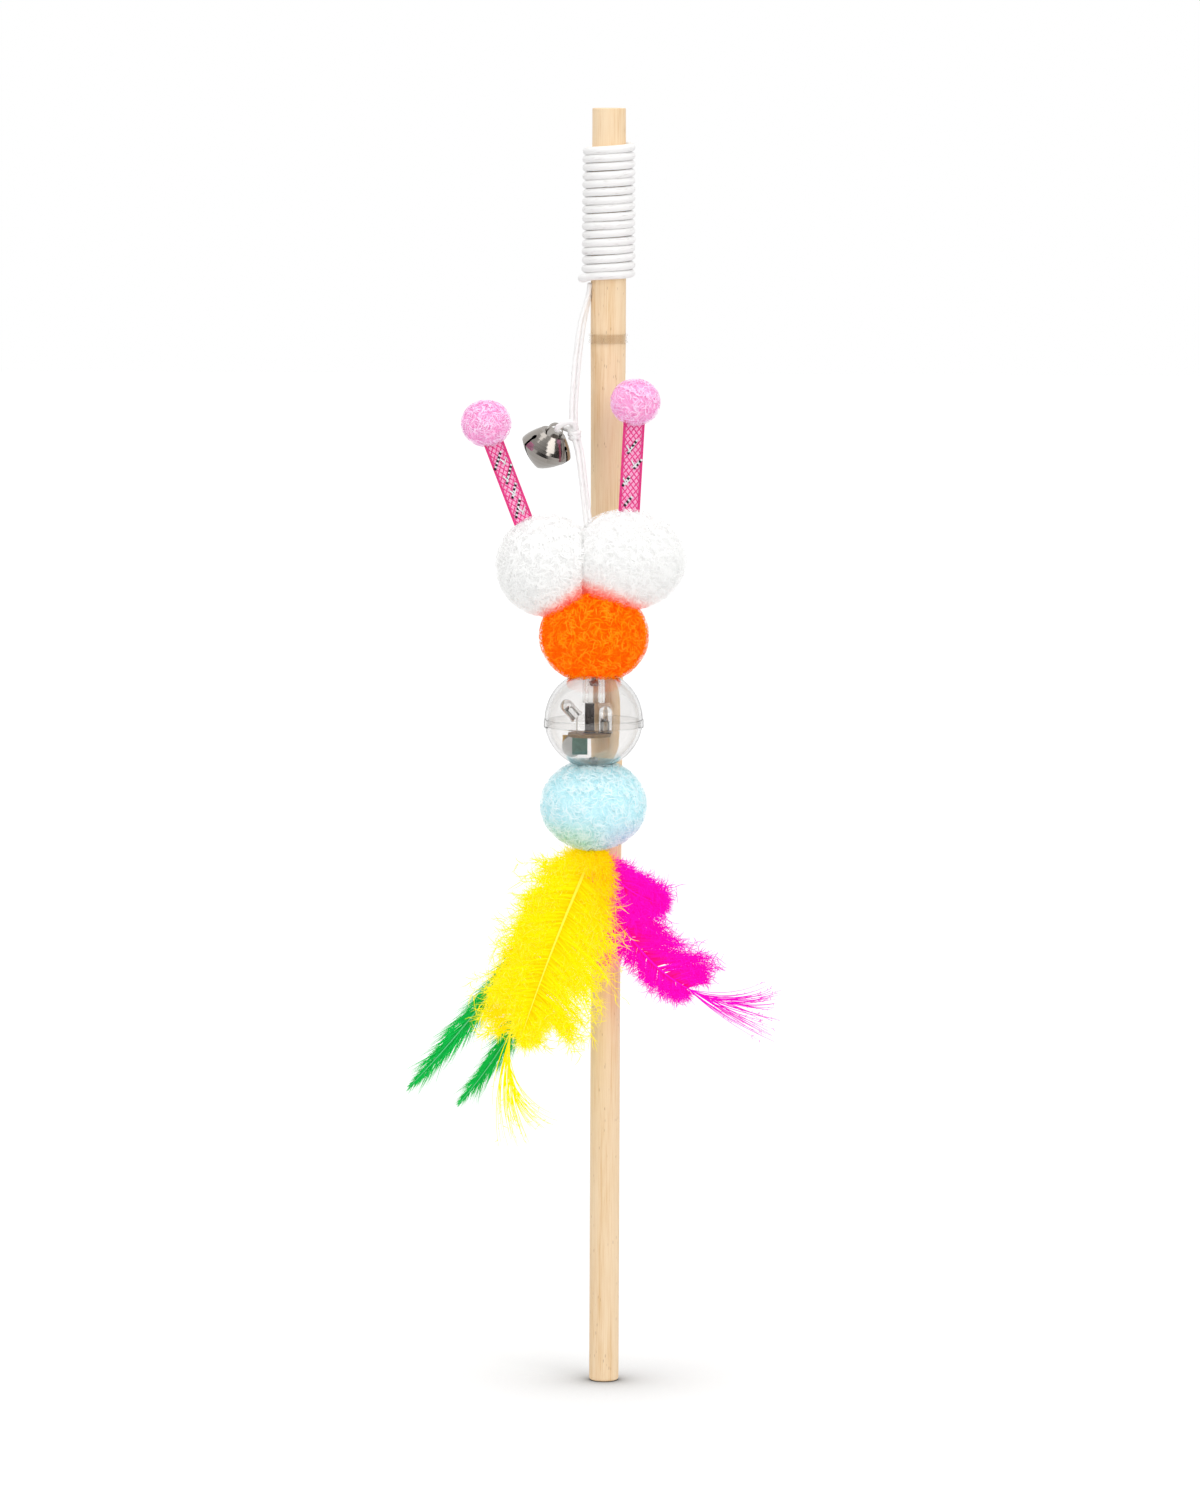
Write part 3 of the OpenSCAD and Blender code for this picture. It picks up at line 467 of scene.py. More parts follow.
def tube(line, radius, sides=12, lay=0, width=1.0, normal=None):
    """Points, faces and UVs of a closed tube.

    lay: length of one turn of its three yarns, for a twisted cord. width: how much wider than thick
    it is, across the normal.
    """
    line = np.asarray(line, float)
    way, u, v = frames_along(line)
    if normal is not None:
        v = np.broadcast_to(np.asarray(normal, float), line.shape)
        u = np.cross(v, way)
    along = np.concatenate([[0], np.cumsum(np.linalg.norm(np.diff(line, axis=0), axis=1))])
    angle = np.arange(sides) / sides * 2 * math.pi
    r = np.broadcast_to(np.asarray(radius, float), (len(line),))[:, None] * np.ones(sides)
    if lay:
        turn = angle[None, :] - along[:, None] / lay * 2 * math.pi
        r = r * (1 - YARN_DEPTH + YARN_DEPTH * np.abs(np.cos(YARNS * turn / 2)) * 1.6)
    points = (line[:, None, :] + (r * width * np.cos(angle))[:, :, None] * u[:, None, :]
              + (r * np.sin(angle))[:, :, None] * v[:, None, :])
    n, m = points.shape[:2]
    faces, uv = [], []
    for i in range(n - 1):
        for j in range(m):
            k = (j + 1) % m
            faces.append((i * m + j, i * m + k, (i + 1) * m + k, (i + 1) * m + j))
            a, b = j / m, (j + 1) / m
            uv += [(along[i], a), (along[i], b), (along[i + 1], b), (along[i + 1], a)]
    for ring, turn in ((0, -1), (n - 1, 1)):
        faces.append(tuple(ring * m + j for j in range(m))[::turn])
        uv += [(along[ring], 0.5)] * m
    return points.reshape(-1, 3), faces, uv


def merged(parts):
    """Several meshes as one: (points, faces, the UVs or the tones)."""
    points, faces, values, start = [], [], [], 0
    for p, f, v in parts:
        points.append(p)
        faces += [tuple(i + start for i in face) for face in f]
        values.append(v)
        start += len(p)
    return np.concatenate(points), faces, np.concatenate(values)


def tubes_piece(name, parts, material, body):
    """One mesh piece made of several tubes."""
    points, faces, uv = merged(parts)
    return piece_of(name, points, faces, material, body, uv)


def ripple(points, size, seed, waves=18):
    """A smooth random field from -1 to 1, with waves of about a size."""
    rng = np.random.default_rng(seed)
    way = unit(rng.normal(size=(waves, 3))) * (2 * math.pi / size) * rng.uniform(0.6, 1.5, (waves, 1))
    return np.sin(points @ way.T + rng.uniform(0, 2 * math.pi, waves)).sum(1) / math.sqrt(waves / 2) * 0.5


def blades(root, tip, bend, across, width):
    """Thin tapered hairs: (points, faces, share along the hair)."""
    n = len(root)
    middle = (root + tip) / 2 + bend
    w = (across * np.asarray(width).reshape(-1, 1)) / 2
    points = np.stack([root - w, root + w, middle - w * 0.8, middle + w * 0.8, tip], 1).reshape(-1, 3)
    base = np.arange(n) * 5
    quads = np.stack([base, base + 1, base + 3, base + 2], 1).tolist()
    tips = np.stack([base + 2, base + 3, base + 4], 1).tolist()
    return points, quads + tips, np.tile([0, 0, 0.5, 0.5, 1], n)


def strips(path, across, width):
    """Flat strips along paths of points: (points, faces, share along the strip)."""
    m, k = path.shape[:2]
    half = across * np.asarray(width)[:, :, None] / 2
    points = np.stack([path - half, path + half], 2).reshape(-1, 3)
    base = np.arange(m)[:, None] * 2 * k + 2 * np.arange(k - 1)[None, :]
    faces = np.stack([base, base + 1, base + 3, base + 2], -1).reshape(-1, 4).tolist()
    return points, faces, np.tile(np.repeat(np.linspace(0, 1, k), 2), m)


def grown(root, long, steps, way_at):
    """Paths of a given length from their roots: way_at(number, share) gives the way of each step."""
    path = [root]
    for k in range(steps):
        path.append(path[-1] + unit(way_at(k, (k + 0.5) / steps)) * (long / steps)[:, None])
    return np.stack(path, 1)


def matrix_points(matrix, points):
    m = np.array(matrix)
    return np.asarray(points, float) @ m[:3, :3].T + m[:3, 3]


def turned(angle, axis):
    return Matrix.Rotation(math.radians(angle), 4, axis)


def material_on(node, material):
    mesh = NODES[node].data
    mesh.materials.clear()
    mesh.materials.append(material)


# --- Dowel ------------------------------------------------------------------------------


class WAND_OT_dowel(bpy.types.Operator):
    """Gives the dowel its bare, sanded wood"""

    bl_idname = "wand.dowel"
    bl_label = "Dowel"

    def execute(self, context):
        material_on("dowel", rubberwood(context.scene.wand_wood))
        return {"FINISHED"}


# --- Cords ------------------------------------------------------------------------------

YARNS, YARN_DEPTH = 3, 0.08
# The line's course, in millimetres: its top, its drop, and its bow to the left at shares of the drop
LINE_TOP = np.array([-5.7488, -0.75, 345.718])
LINE_DROP, LINE_BOW, TOY_Y = 73.4, 5.2, -22.2149
BOW_AT = [0, 0.045, 0.1, 0.164, 0.24, 0.324, 0.416, 0.488, 0.56, 0.63, 0.68, 0.74, 0.833, 0.925, 1]
BOW = [0, 0.04, 0.24, 0.47, 0.62, 0.76, 0.86, 0.93, 0.95, 0.88, 0.62, 0.48, 0.32, 0.18, 0.05]
# The angle at which the two strands lie side by side, at shares of the drop
PAIR_AT, PAIR = [0, 0.17, 1], [90, 42, 42]
KNOT_SHARE = 0.628
BALL_C = np.array([-4, TOY_Y, 211.618])
BALL_R = 15.2
INNER_R, INNER_LAY = 0.75, 6
# The winding, by the angle round the dowel in degrees: where it starts and ends, the points along it,
# its rise for one turn, its height at 270 degrees, and where its tucked end comes out
WOUND_FROM, WOUND_TO, WOUND_POINTS, WOUND_RISE, WOUND_Z, TUCK_END = 165, 5850, 1056, 2.6, 348.3, 225
# The dowel's diameter under the winding, by height
DOWEL_Z, DOWEL_D = [327, 345, 400], [10.95, 10.95, 10.4]


def line_at(share):
    share = np.asarray(share, float)
    return np.stack([
        LINE_TOP[0] - LINE_BOW * np.interp(share, BOW_AT, BOW),
        LINE_TOP[1] + (TOY_Y - LINE_TOP[1]) * share,
        LINE_TOP[2] - LINE_DROP * share,
    ], -1)


def eased(line, rounds):
    """The line with its corners rounded and its ends kept."""
    line = line.copy()
    for _ in range(rounds):
        line[1:-1] = (line[:-2] + 2 * line[1:-1] + line[2:]) / 4
    return line


def cornered(line, rounds):
    """The line with each corner cut again and again, until it is a smooth curve."""
    for _ in range(rounds):
        a, b = line[:-1], line[1:]
        cut = np.stack([a * 0.75 + b * 0.25, a * 0.25 + b * 0.75], 1).reshape(-1, 3)
        line = np.concatenate([line[:1], cut, line[-1:]])
    return line


def wound_line():
    """Centreline of the wound cord, from its tucked end up to the top turn."""
    angle = np.linspace(WOUND_FROM, WOUND_TO, WOUND_POINTS)
    rad = np.radians(angle)
    tuck = soft_step((TUCK_END - angle) / 30)
    z = WOUND_Z + WOUND_RISE * (angle - 270) / 360 - 0.5 * tuck
    dowel = np.interp(z, DOWEL_Z, DOWEL_D) / 2
    # Each turn lies a little off its neighbours, as a hand leaves it
    z = z + 0.07 * np.sin(rad * 0.37) + 0.04 * np.sin(rad * 1.7 + 1)
    r = dowel + 1.5 + 1.2 * tuck + 0.06 * np.sin(rad * 0.61 + 2)
    return np.stack([r * np.cos(rad), r * np.sin(rad), z], 1)


class WAND_OT_cords(bpy.types.Operator):
    """Makes the winding, the two hanging strands, their knot and loop, and the inner cords"""

    bl_idname = "wand.cords"
    bl_label = "Cords"

    def execute(self, context):
        s = context.scene.wand_cord
        cord = spun_cord(s)
        # A rounded section, pressed flat where the turns meet and against the dowel
        wound = tube(wound_line(), s.wound_h / MM / 2, sides=18, width=s.wound_d / s.wound_h, normal=(0, 0, 1))
        winding = tubes_piece("winding_cord", [wound], cord, "wand")
        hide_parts("grip_winding")

        share = np.linspace(0, 1.015, 150)
        centre = eased(line_at(share), 22)
        turn = np.radians(np.interp(share, PAIR_AT, PAIR))
        strand = s.strand_d / MM
        aside = np.stack([np.cos(turn), np.sin(turn), 0 * turn], 1) * (strand + 0.1) / 2
        # The two strands part a little below the knot and cross back at the toy
        wander = 0.25 * np.sin(share * 9.0)[:, None] * np.array([0.4, 1.0, 0])
        for name, side, sway in (("line_strand_left", -1, 0.3), ("line_strand_right", 1, -0.2)):
            path = centre + side * aside + wander * sway
            piece = tubes_piece(name, [tube(path, strand / 2, lay=s.lay / MM)], cord, None)
            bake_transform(piece)
            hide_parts("cord_exit", "cord_upper", "cord_lower")

        self.knot(strand, cord)
        self.inner(cord)
        return {"FINISHED"}

    def knot(self, strand, cord):
        """A wrapped knot round both strands, and the loop that carries the bell."""
        centre = line_at(KNOT_SHARE)
        a = np.linspace(0, 2.35, 70) * 2 * math.pi
        climb = np.linspace(-1, 1, 70)
        radius = 1.42 - 0.5 * np.abs(climb) ** 4
        wrap = centre + np.stack([radius * np.cos(a + 2.4), radius * np.sin(a + 2.4), 1.45 * climb], 1)
        over = centre + np.stack([1.5 * np.cos(climb * 1.3 - 1.9), 1.5 * np.sin(climb * 1.3 - 1.9),
                                  -1.25 * climb], 1)
        # Both legs leave the knot, meet in front of the shank and pass back through its opening
        eye, through = np.array([-15.674, -14.23, 301.231]), np.array([0.033, 0.94, 0.34])
        turns = [centre + [0, 0, 0.6], centre + [0.2, -1.5, 2.6], centre + [-1.4, -2.9, 4.3],
                 eye - 2.9 * through + [0.3, 0, 1.9], eye - 1.6 * through, eye, eye + 1.7 * through,
                 eye + 2.3 * through + [1.6, 0, -0.3], centre + [-1.0, 1.3, 0.9], centre + [0, 0.3, 0]]
        loop = cornered(np.array(turns), 4)
        parts = [tube(path, strand * thick, lay=5.5)
                 for path, thick in ((wrap, 0.5), (over, 0.42), (loop, 0.6))]
        piece = tubes_piece("bell_knot_and_loop", parts, cord, "line")
        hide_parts("bell_knot")

    def inner(self, cord):
        """The cord through the pompoms, its knot in the ball's boss, and the knotted ends below."""
        top, bend = line_at(1.0) - [0, 0, 0.25], BALL_C + [0, 0, BALL_R + 1.5]
        boss, foot = BALL_C + [0, 0, BALL_R - 4], BALL_C - [0, 0, BALL_R]
        head = np.concatenate([np.linspace(top, bend, 30), np.linspace(bend, boss, 8)[1:]])
        stub = np.linspace(foot, foot + [0, 0, 2.5], 8)
        low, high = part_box("tail_cord")
        tail = np.linspace(*([*BALL_C[:2], z / MM] for z in (low.z, high.z)), 24)
        for name, line, knots, body, node in (
            ("inner_cord", head, [boss], "head", "toy_cord"),
            ("ball_knot", stub, [stub[-1]], "ball", "ball_lower_knot"),
            ("tail_inner_cord", tail, [], "tail", "tail_cord"),
        ):
            parts = [tube(line, INNER_R, lay=INNER_LAY), *(self.ball_knot(at) for at in knots)]
            piece = tubes_piece(name, parts, cord, body)
            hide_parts(node)

    def ball_knot(self, centre):
        """A round knot: three wraps over each other."""
        t = np.linspace(0, 2 * math.pi, 90, endpoint=False)
        path = centre + 0.36 * np.stack([np.sin(t) + 2 * np.sin(2 * t), np.cos(t) - 2 * np.cos(2 * t),
                                         -np.sin(3 * t)], 1)
        return tube(np.concatenate([path, path[:1]]), 0.55, sides=10)


# --- Band and bell ----------------------------------------------------------------------

BELL_C = (-18.98, -11.87, 295.07)
BLACKENED = (0.05, 0.045, 0.05)


class WAND_OT_hardware(bpy.types.Operator):
    """Gives the sliding band, the bell and the crimp their plastic and metal"""

    bl_idname = "wand.hardware"
    bl_label = "Band, bell and crimp"

    def execute(self, context):
        clear = context.scene.wand_clear
        bell = context.scene.wand_bell
        nickel = plated("nickel_plated_brass", bell.nickel, bell.roughness, 5.0, 0.05)
        shell = plated("nickel_plated_bell", bell.nickel, bell.roughness, 5.0, 0.05)
        material_on("retaining_band", clear_plastic("polyethylene_clear", clear.band, 0.08, 1.25, 0.15))
        material_on("bell_shank", nickel)
        # The bell's inside gets painted shade
        material_on("bell_shell", self.shaded_inside(shell, bell.nickel))
        material_on("bell_pellet", plated("steel_shot", clear.steel, 0.35))
        material_on("feather_crimp", plated("blackened_steel", BLACKENED, 0.5))
        return {"FINISHED"}

    def shaded_inside(self, material, colour):
        """Paints the bell's inner face nearly black, where the normal points to its middle: painted shade
        inside the bell.
        """
        tree = material.node_tree
        shader = next(node for node in tree.nodes if node.type == "BSDF_PRINCIPLED")
        inwards = add(tree, "ShaderNodeVectorMath", {0: BELL_C, 1: place_in_mm(tree)}, operation="SUBTRACT")
        normal = add(tree, "ShaderNodeTexCoord").outputs["Normal"]
        facing = add(tree, "ShaderNodeVectorMath", {0: inwards.outputs[0], 1: normal}, operation="DOT_PRODUCT")
        inside = smooth(tree, facing.outputs["Value"], -0.5, 0.5)
        paint(tree, shader, mixed(tree, inside, colour, (0.012, 0.01, 0.009)))
        return material


# --- Pompoms ----------------------------------------------------------------------------

# Each pompom: its CAD node, body and slot, its middle, and its half sizes along X, Y and Z
POMPOMS = {
    "plush_white_left": ("white_pompom_left", "head", "white_pompom",
                         (-18.6, TOY_Y, 259.418), (15.65, 15.65, 15.65)),
    "plush_white_right": ("white_pompom_right", "head", "white_pompom",
                          (6.0, TOY_Y, 261.318), (18.2, 15.45, 15.45)),
    "plush_orange": ("orange_pompom", "head", "orange_pompom", (-4, TOY_Y, 237.618), (16.75, 16.75, 14.6)),
    "plush_blue": ("blue_pompom", "tail", "blue_pompom", (-4, TOY_Y, 185.018), (16.3, 16.3, 14.0)),
}
# How far a pressed pile stays off its neighbour, and the share of its free reach below which it is pressed
OFF, DENTED = 0.35, 0.985


def seam(points):
    """Where the two white pompoms press against each other, at each point's height."""
    return -7.6 - 0.8 * np.exp(-(((points[:, 2] - 254) / 5) ** 2))


def pressed(name, points):
    """Whether points lie in what presses on a pompom: its neighbour, the whites above or the ball."""
    if name == "plush_white_left":
        return points[:, 0] > seam(points) + OFF
    if name == "plush_white_right":
        return points[:, 0] < seam(points) - OFF
    if name not in POMPOMS:
        return np.zeros(len(points), bool)
    out = np.linalg.norm(points - BALL_C, axis=1) < BALL_R + OFF
    if name == "plush_orange":
        for white in ("plush_white_left", "plush_white_right"):
            centre, half = POMPOMS[white][3:]
            out |= np.linalg.norm((points - np.array(centre)) / half, axis=1) < 0.93
    return out


def reach_of(name, centre, half, way):
    """How far a pompom reaches from its middle, pressed and free, in millimetres."""
    full = 1 / np.linalg.norm(way / half, axis=1)
    reach, free = full.copy(), np.ones(len(way), bool)
    for share in np.linspace(0.3, 1, 90):
        stopped = pressed(name, centre + way * (full * share)[:, None]) & free
        reach[stopped] = (full * share)[stopped]
        free &= ~stopped
    return reach, full


def locks_of(rng, name, centre, half, count, seed):
    """Curved locks that lie along the pile: (points, faces, tone)."""
    way = unit(rng.normal(size=(count, 3)))
    field = centre + way * half
    spin = 3.4 * ripple(field, 7.0, seed + 8) + rng.normal(scale=0.7, size=count)
    curve = rng.normal(scale=0.22, size=count) + 0.3 * np.sign(ripple(field, 9.0, seed + 9))
    size = rng.uniform(0.4, 0.8, count) * np.minimum(1, half[0] / 14) ** 0.5
    path = []
    steps = 5
    for k in range(steps + 1):
        reach, full = reach_of(name, centre, half, way)
        rise = np.where(reach < full * DENTED, -0.8, 0.05 + 0.3 * math.sin(math.pi * k / steps))
        path.append(centre + way * (reach + rise)[:, None])
        u = unit(np.cross(way, [0.13, 0.2, 0.97]))
        v = np.cross(way, u)
        d = u * np.cos(spin)[:, None] + v * np.sin(spin)[:, None]
        way = unit(way + d * (size / half[0] * 1.05)[:, None])
        spin = spin + curve
    path = np.stack(path, 1)
    across = unit(np.cross(np.gradient(path, axis=1), path - centre))
    profile = np.array([0.35, 0.85, 1, 0.9, 0.6, 0.1]) * (0.24 if half[0] > 10 else 0.22)
    points, faces, along = strips(path, across, profile[None, :] * rng.uniform(0.6, 1.4, (count, 1)))
    # The tone rises along each lock: painted shade at its root, painted highlight at its end
    tone = np.clip(0.3 + 0.35 * along + np.repeat(rng.normal(0.22, 0.17, count), 2 * (steps + 1)), 0, 1)
    return points, faces, tone


def hairs_of(rng, name, centre, half, hairs, width, pile, seed, spread):
    """A brushed pile of straight hairs, spread evenly and leaning in tufts: (points, faces, tone)."""
    number = np.arange(hairs) + 0.5
    level = 1 - 2 * number / hairs
    turn = number * math.pi * (3 - math.sqrt(5))
    flat = np.sqrt(1 - level**2)
    way = unit(np.stack([flat * np.cos(turn), flat * np.sin(turn), level], 1)
               + rng.normal(scale=0.012, size=(hairs, 3)))
    reach, full = reach_of(name, centre, half, way)
    outwards = unit(way / half**2)
    root = centre + way * (reach - pile * 0.9)[:, None]
    # The pile leans with a slow field, so it lies in tufts, and each hair strays a little
    lean = np.stack([ripple(root, 4.2, seed + k) for k in (1, 2, 3)], 1)
    lean += np.stack([ripple(root, 1.6, seed + k) for k in (4, 5, 6)], 1) * 0.5
    lean += rng.normal(scale=0.35, size=(hairs, 3))
    lean -= outwards * (lean * outwards).sum(1, keepdims=True)
    rise = rng.uniform(-0.5, 0.25, hairs) + 0.25 * ripple(root, 2.4, seed + 7)
    stray = rng.random(hairs) < 0.08
    rise = np.where(stray, rise + rng.uniform(0.1, 0.8, hairs), rise)
    rise = np.where(reach < full * DENTED, np.minimum(rise, 0) - 0.2, rise) * spread
    tip = centre + way * (reach + rise)[:, None] + lean * pile * 0.6
    bend = lean * (-0.22 * pile) + outwards * 0.12
    across = unit(np.cross(tip - root, rng.normal(size=(hairs, 3))))
    points, faces, along = blades(root, tip, bend, across, width * rng.uniform(0.6, 1.3, hairs))
    # The tone rises along each hair: painted shade at its root, painted highlight at its end
    return points, faces, np.clip(along * 0.6 + np.repeat(rng.normal(0.15, 0.16, hairs), 5), 0, 1)


def plush_ball(name, node, body, centre, half, s, material, hairs, pile, seed, spread=1.0):
    """A pompom: a dense core, a brushed pile that leans in tufts, and curved locks over it."""
    rng = np.random.default_rng(seed)
    centre, half = np.array(centre, float), np.array(half, float)
    sphere = bmesh.new()
    bmesh.ops.create_icosphere(sphere, subdivisions=5, radius=1)
    way = unit(np.array([v.co for v in sphere.verts]))
    core_faces = [tuple(v.index for v in f.verts) for f in sphere.faces]
    sphere.free()
    reach, _ = reach_of(name, centre, half, way)
    core = centre + way * (reach - pile * 0.4)[:, None]
    core += way * (0.25 * ripple(core, 3.0, seed) * min(1, pile))[:, None]
    points, faces, tone = merged([
        # The core's low tone gives it the shade colour: painted shade under the pile
        (core, core_faces, np.full(len(core), 0.1)),
        hairs_of(rng, name, centre, half, hairs, s.hair_w / MM, pile, seed, spread),
        locks_of(rng, name, centre, half, int(s.locks * hairs / s.hairs), seed),
    ])
    piece = piece_of(name, points, faces, material, body, tone=tone)
    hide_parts(node)


class WAND_OT_pompoms(bpy.types.Operator):
    """Makes the four large pompoms of the toy"""

    bl_idname = "wand.pompoms"
    bl_label = "Pompoms"

    def execute(self, context):
        s = context.scene.wand_plush

        def orange_bounce_region(tree, where):
            """Painted orange bounce light: strong where the white pile lies on the orange pompom."""
            away = add(tree, "ShaderNodeVectorMath", {0: where, 1: (-4, TOY_Y, 238)}, operation="DISTANCE")
            return maths(tree, "MULTIPLY", smooth(tree, away.outputs["Value"], 21.5, 14.5), 0.85)

        # Painted bounce light on the blue pile: lime from the yellow and green feathers at the lower left,
        # lilac from the magenta ones at the lower right
        lime_bounce_region, lilac_bounce_region = region(0.8, Z=(183, 171), X=(4, -12)), region(0.7, Z=(183, 171), X=(-6, 8))
        # In each finish the second colour is painted shade deep in the pile, and the third is a painted
        # highlight on the hair ends
        finishes = {
            "white_pompom": plush("acrylic_pile_white", s.white, mid(s.white, (0.6, 0.6, 0.61), 0.35), s.white,
                                  [(s.orange_bounce, orange_bounce_region)], 0.12),
            "orange_pompom": plush("acrylic_pile_orange", s.orange, s.ember, s.amber, light=0.2),
            "blue_pompom": plush("acrylic_pile_blue", s.blue, mid(s.blue, (0.45, 0.8, 0.88), 0.45),
                                 mid(s.blue, (1, 1, 1), 0.5), [(s.lime_bounce, lime_bounce_region), (s.lilac_bounce, lilac_bounce_region)]),
        }
        for seed, (name, (node, body, slot, centre, half)) in enumerate(POMPOMS.items()):
            plush_ball(name, node, body, centre, half, s, finishes[slot], s.hairs,
                       s.pile / MM, 100 + 20 * seed)
        return {"FINISHED"}


# --- Feelers ----------------------------------------------------------------------------

# The ribbon's width, one mesh of its net, how far it reaches into the white pompom and past its
# length into the pink one, and the thickness of its threads
RIBBON_W, MESH_W, MESH_H, SUNK, PAST, THREAD_R = 7.2, 1.85, 2.15, 1.2, 2.6, 0.13
# The pitch of the metallic beads, and where the dark and the silver part of each lie
BEAD, BEAD_PARTS = 1.32, (("black", 0.0, 0.7), ("silver", 0.72, 1.3))
# Each feeler: its foot, its lean and its turn about itself in degrees, and its length
FEET = {
    "left": ((-26.2866, TOY_Y, 273.988), -21, 34, 24.4),
    "right": ((6.72253, TOY_Y, 277.063), 3, 24, 26.0),
}


class WAND_OT_feelers(bpy.types.Operator):
    """Makes the two net ribbons with their metallic threads, and the pink pompoms at their ends"""

    bl_idname = "wand.feelers"
    bl_label = "Feelers"

    def execute(self, context):
        s = context.scene.wand_feeler
        pile = context.scene.wand_plush
        net = dyed_nylon("nylon_net_dyed", s.edge, s.net, 0.8, 0.3, 0.05, Roughness=0.45, Sheen_Weight=0.2)
        foils = {"silver": foil_thread("foil_thread_silver", s.silver, 0.15, 0.35),
                 "black": foil_thread("foil_thread_black", s.black, 0.0, 0.5)}
        # The rose is painted shade deep in the pink pile, and the paler pink is a painted highlight on the hair
        # ends
        pink = plush("acrylic_pile_pink", pile.pink, pile.rose, mid(pile.pink, (1, 1, 1), 0.4))
        for k, (side, (foot, lean, turn, length)) in enumerate(FEET.items()):
            m = Matrix.Translation(foot) @ turned(lean, "Y") @ turned(turn, "Z")
            face = np.array(m)[:3, 1]
            body = f"feeler_{side}"
            parts = self.net(m, face, length, s)
            ribbon = tubes_piece(f"net_ribbon_{side}", parts, net, body)
            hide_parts(f"antenna_ribbon_{side}")
            veil = dyed_nylon("nylon_veil_dyed", mid(s.veil, s.net, 0.25), s.veil, 0.35, 0.35, 0.04,
                              Roughness=0.5, Sheen_Weight=0.3)
            parts = self.veil(m, face, length, s)
            tubes_piece(f"net_veil_{side}", parts, veil, body)
            for kind, parts in self.foil(m, face, length, s, 300 + k).items():
                tubes_piece(f"foil_{kind}_{side}", parts, foils[kind], body)
            top = matrix_points(m, [[0, 0, length + 7.0]])[0]
            plush_ball(f"plush_pink_{side}", f"pink_pompom_{side}", body, top, (7.5, 7.5, 7.0),
                       pile, pink, pile.hairs // 3, pile.pile / MM * 0.6, 400 + 20 * k, 0.6)
        return {"FINISHED"}

    def threads(self, s, top, rising):
        """Lines of one lay of the net, clipped to the ribbon: the X and the Z of their two ends."""
        half = RIBBON_W / 2 - s.selvedge / MM * 0.6
        for k in range(-6, int(top / MESH_H) + 8):
            z = np.clip([(rising * x / MESH_W + k + 0.5) * MESH_H for x in (-half, half)], -SUNK, top)
            if abs(z[1] - z[0]) > 0.4:
                yield (z / MESH_H - k - 0.5) * MESH_W * rising, z

    def net(self, m, face, length, s):
        """The threads of both lays, which pass over and under each other, and the two edges."""
        top = length + PAST
        parts = []
        for rising in (1, -1):
            for x, z in self.threads(s, top, rising):
                n = max(3, int(abs(z[1] - z[0]) / (MESH_H / 4)))
                x, z = np.linspace(*x, n), np.linspace(*z, n)
                y = 0.1 * rising * np.cos(2 * math.pi * z / MESH_H)
                parts.append(tube(matrix_points(m, np.stack([x, y, z], 1)), THREAD_R, sides=6,
                                  width=s.thread / MM / THREAD_R / 2, normal=face))
        # Each edge is four cords knitted side by side
        z = np.linspace(-SUNK, top, 60)
        for side in (-1, 1):
            for k in range(4):
                x = side * (RIBBON_W / 2 - s.selvedge / MM * (k + 0.5) / 4) + 0.03 * np.sin(z * 7 + k * 2)
                y = 0.06 * np.sin(z * 7 + k * 1.6)
                parts.append(tube(matrix_points(m, np.stack([x, y, z], 1)), THREAD_R, sides=6))
        return parts

    def veil(self, m, face, length, s):
        """The fine fill of the net's meshes: a thin sheet between the selvedges."""
        line = matrix_points(m, [[0, 0, z] for z in np.linspace(-SUNK, length + PAST, 24)])
        wide = (RIBBON_W / 2 - s.selvedge / MM * 0.6) / 0.05
        return [tube(line, 0.05, sides=8, width=wide, normal=face)]

    def foil(self, m, face, length, s, seed):
        """Flat metallic threads on both faces, silver with dark dashes, laid along the net."""
        rng = np.random.default_rng(seed)
        half = RIBBON_W / 2 - s.selvedge / MM * 0.4
        rows = {"silver": [], "black": []}

        def dash(x0, z0, x1, z1, y, kind, wide):
            line = matrix_points(m, [[x0, y, z0], [(x0 + x1) / 2, y * 1.15, (z0 + z1) / 2], [x1, y, z1]])
            rows[kind].append(tube(line, 0.05, sides=6, width=wide / 0.1, normal=face))

        z = 0.8
        while z < length - 4:
            rise = MESH_H / MESH_W * rng.uniform(0.85, 1.3)
            step = np.array([1, rise]) / math.hypot(1, rise)
            beads = int(rng.integers(3, 6))
            x0 = rng.uniform(-half, half - beads * BEAD * step[0])
            for i in range(beads):
                for y in (-0.27, 0.27):
                    for kind, start, end in BEAD_PARTS:
                        a, b = ((i * BEAD + e) * step + (x0, z) for e in (start, end))
                        if max(a[0], b[0]) < half:
                            dash(*a, *b, y, kind, 0.85)
            if rng.random() < 0.7:
                x1 = rng.uniform(-half * 0.4, half * 0.6)
                for y in (-0.29, 0.29):
                    dash(x1, z + 0.4, x1 - 1.5, z + 2.6, y, "silver", 0.5)
                    dash(x1 - 1.0, z + 0.3, x1 + 1.0, z + 2.3, y, "silver", 0.42)
            z += rng.uniform(4.2, 6.4)
        return rows


# --- Clear ball and light module --------------------------------------------------------

# Each lamp: the middle of its foot from the module's seat, and its lean in degrees
LAMPS = {"right": ((4.9, 0, -4.2), 0), "left": ((-3.9, 0, 0.6), -42)}
SEAT = BALL_C + [-1.25, 0, 0]


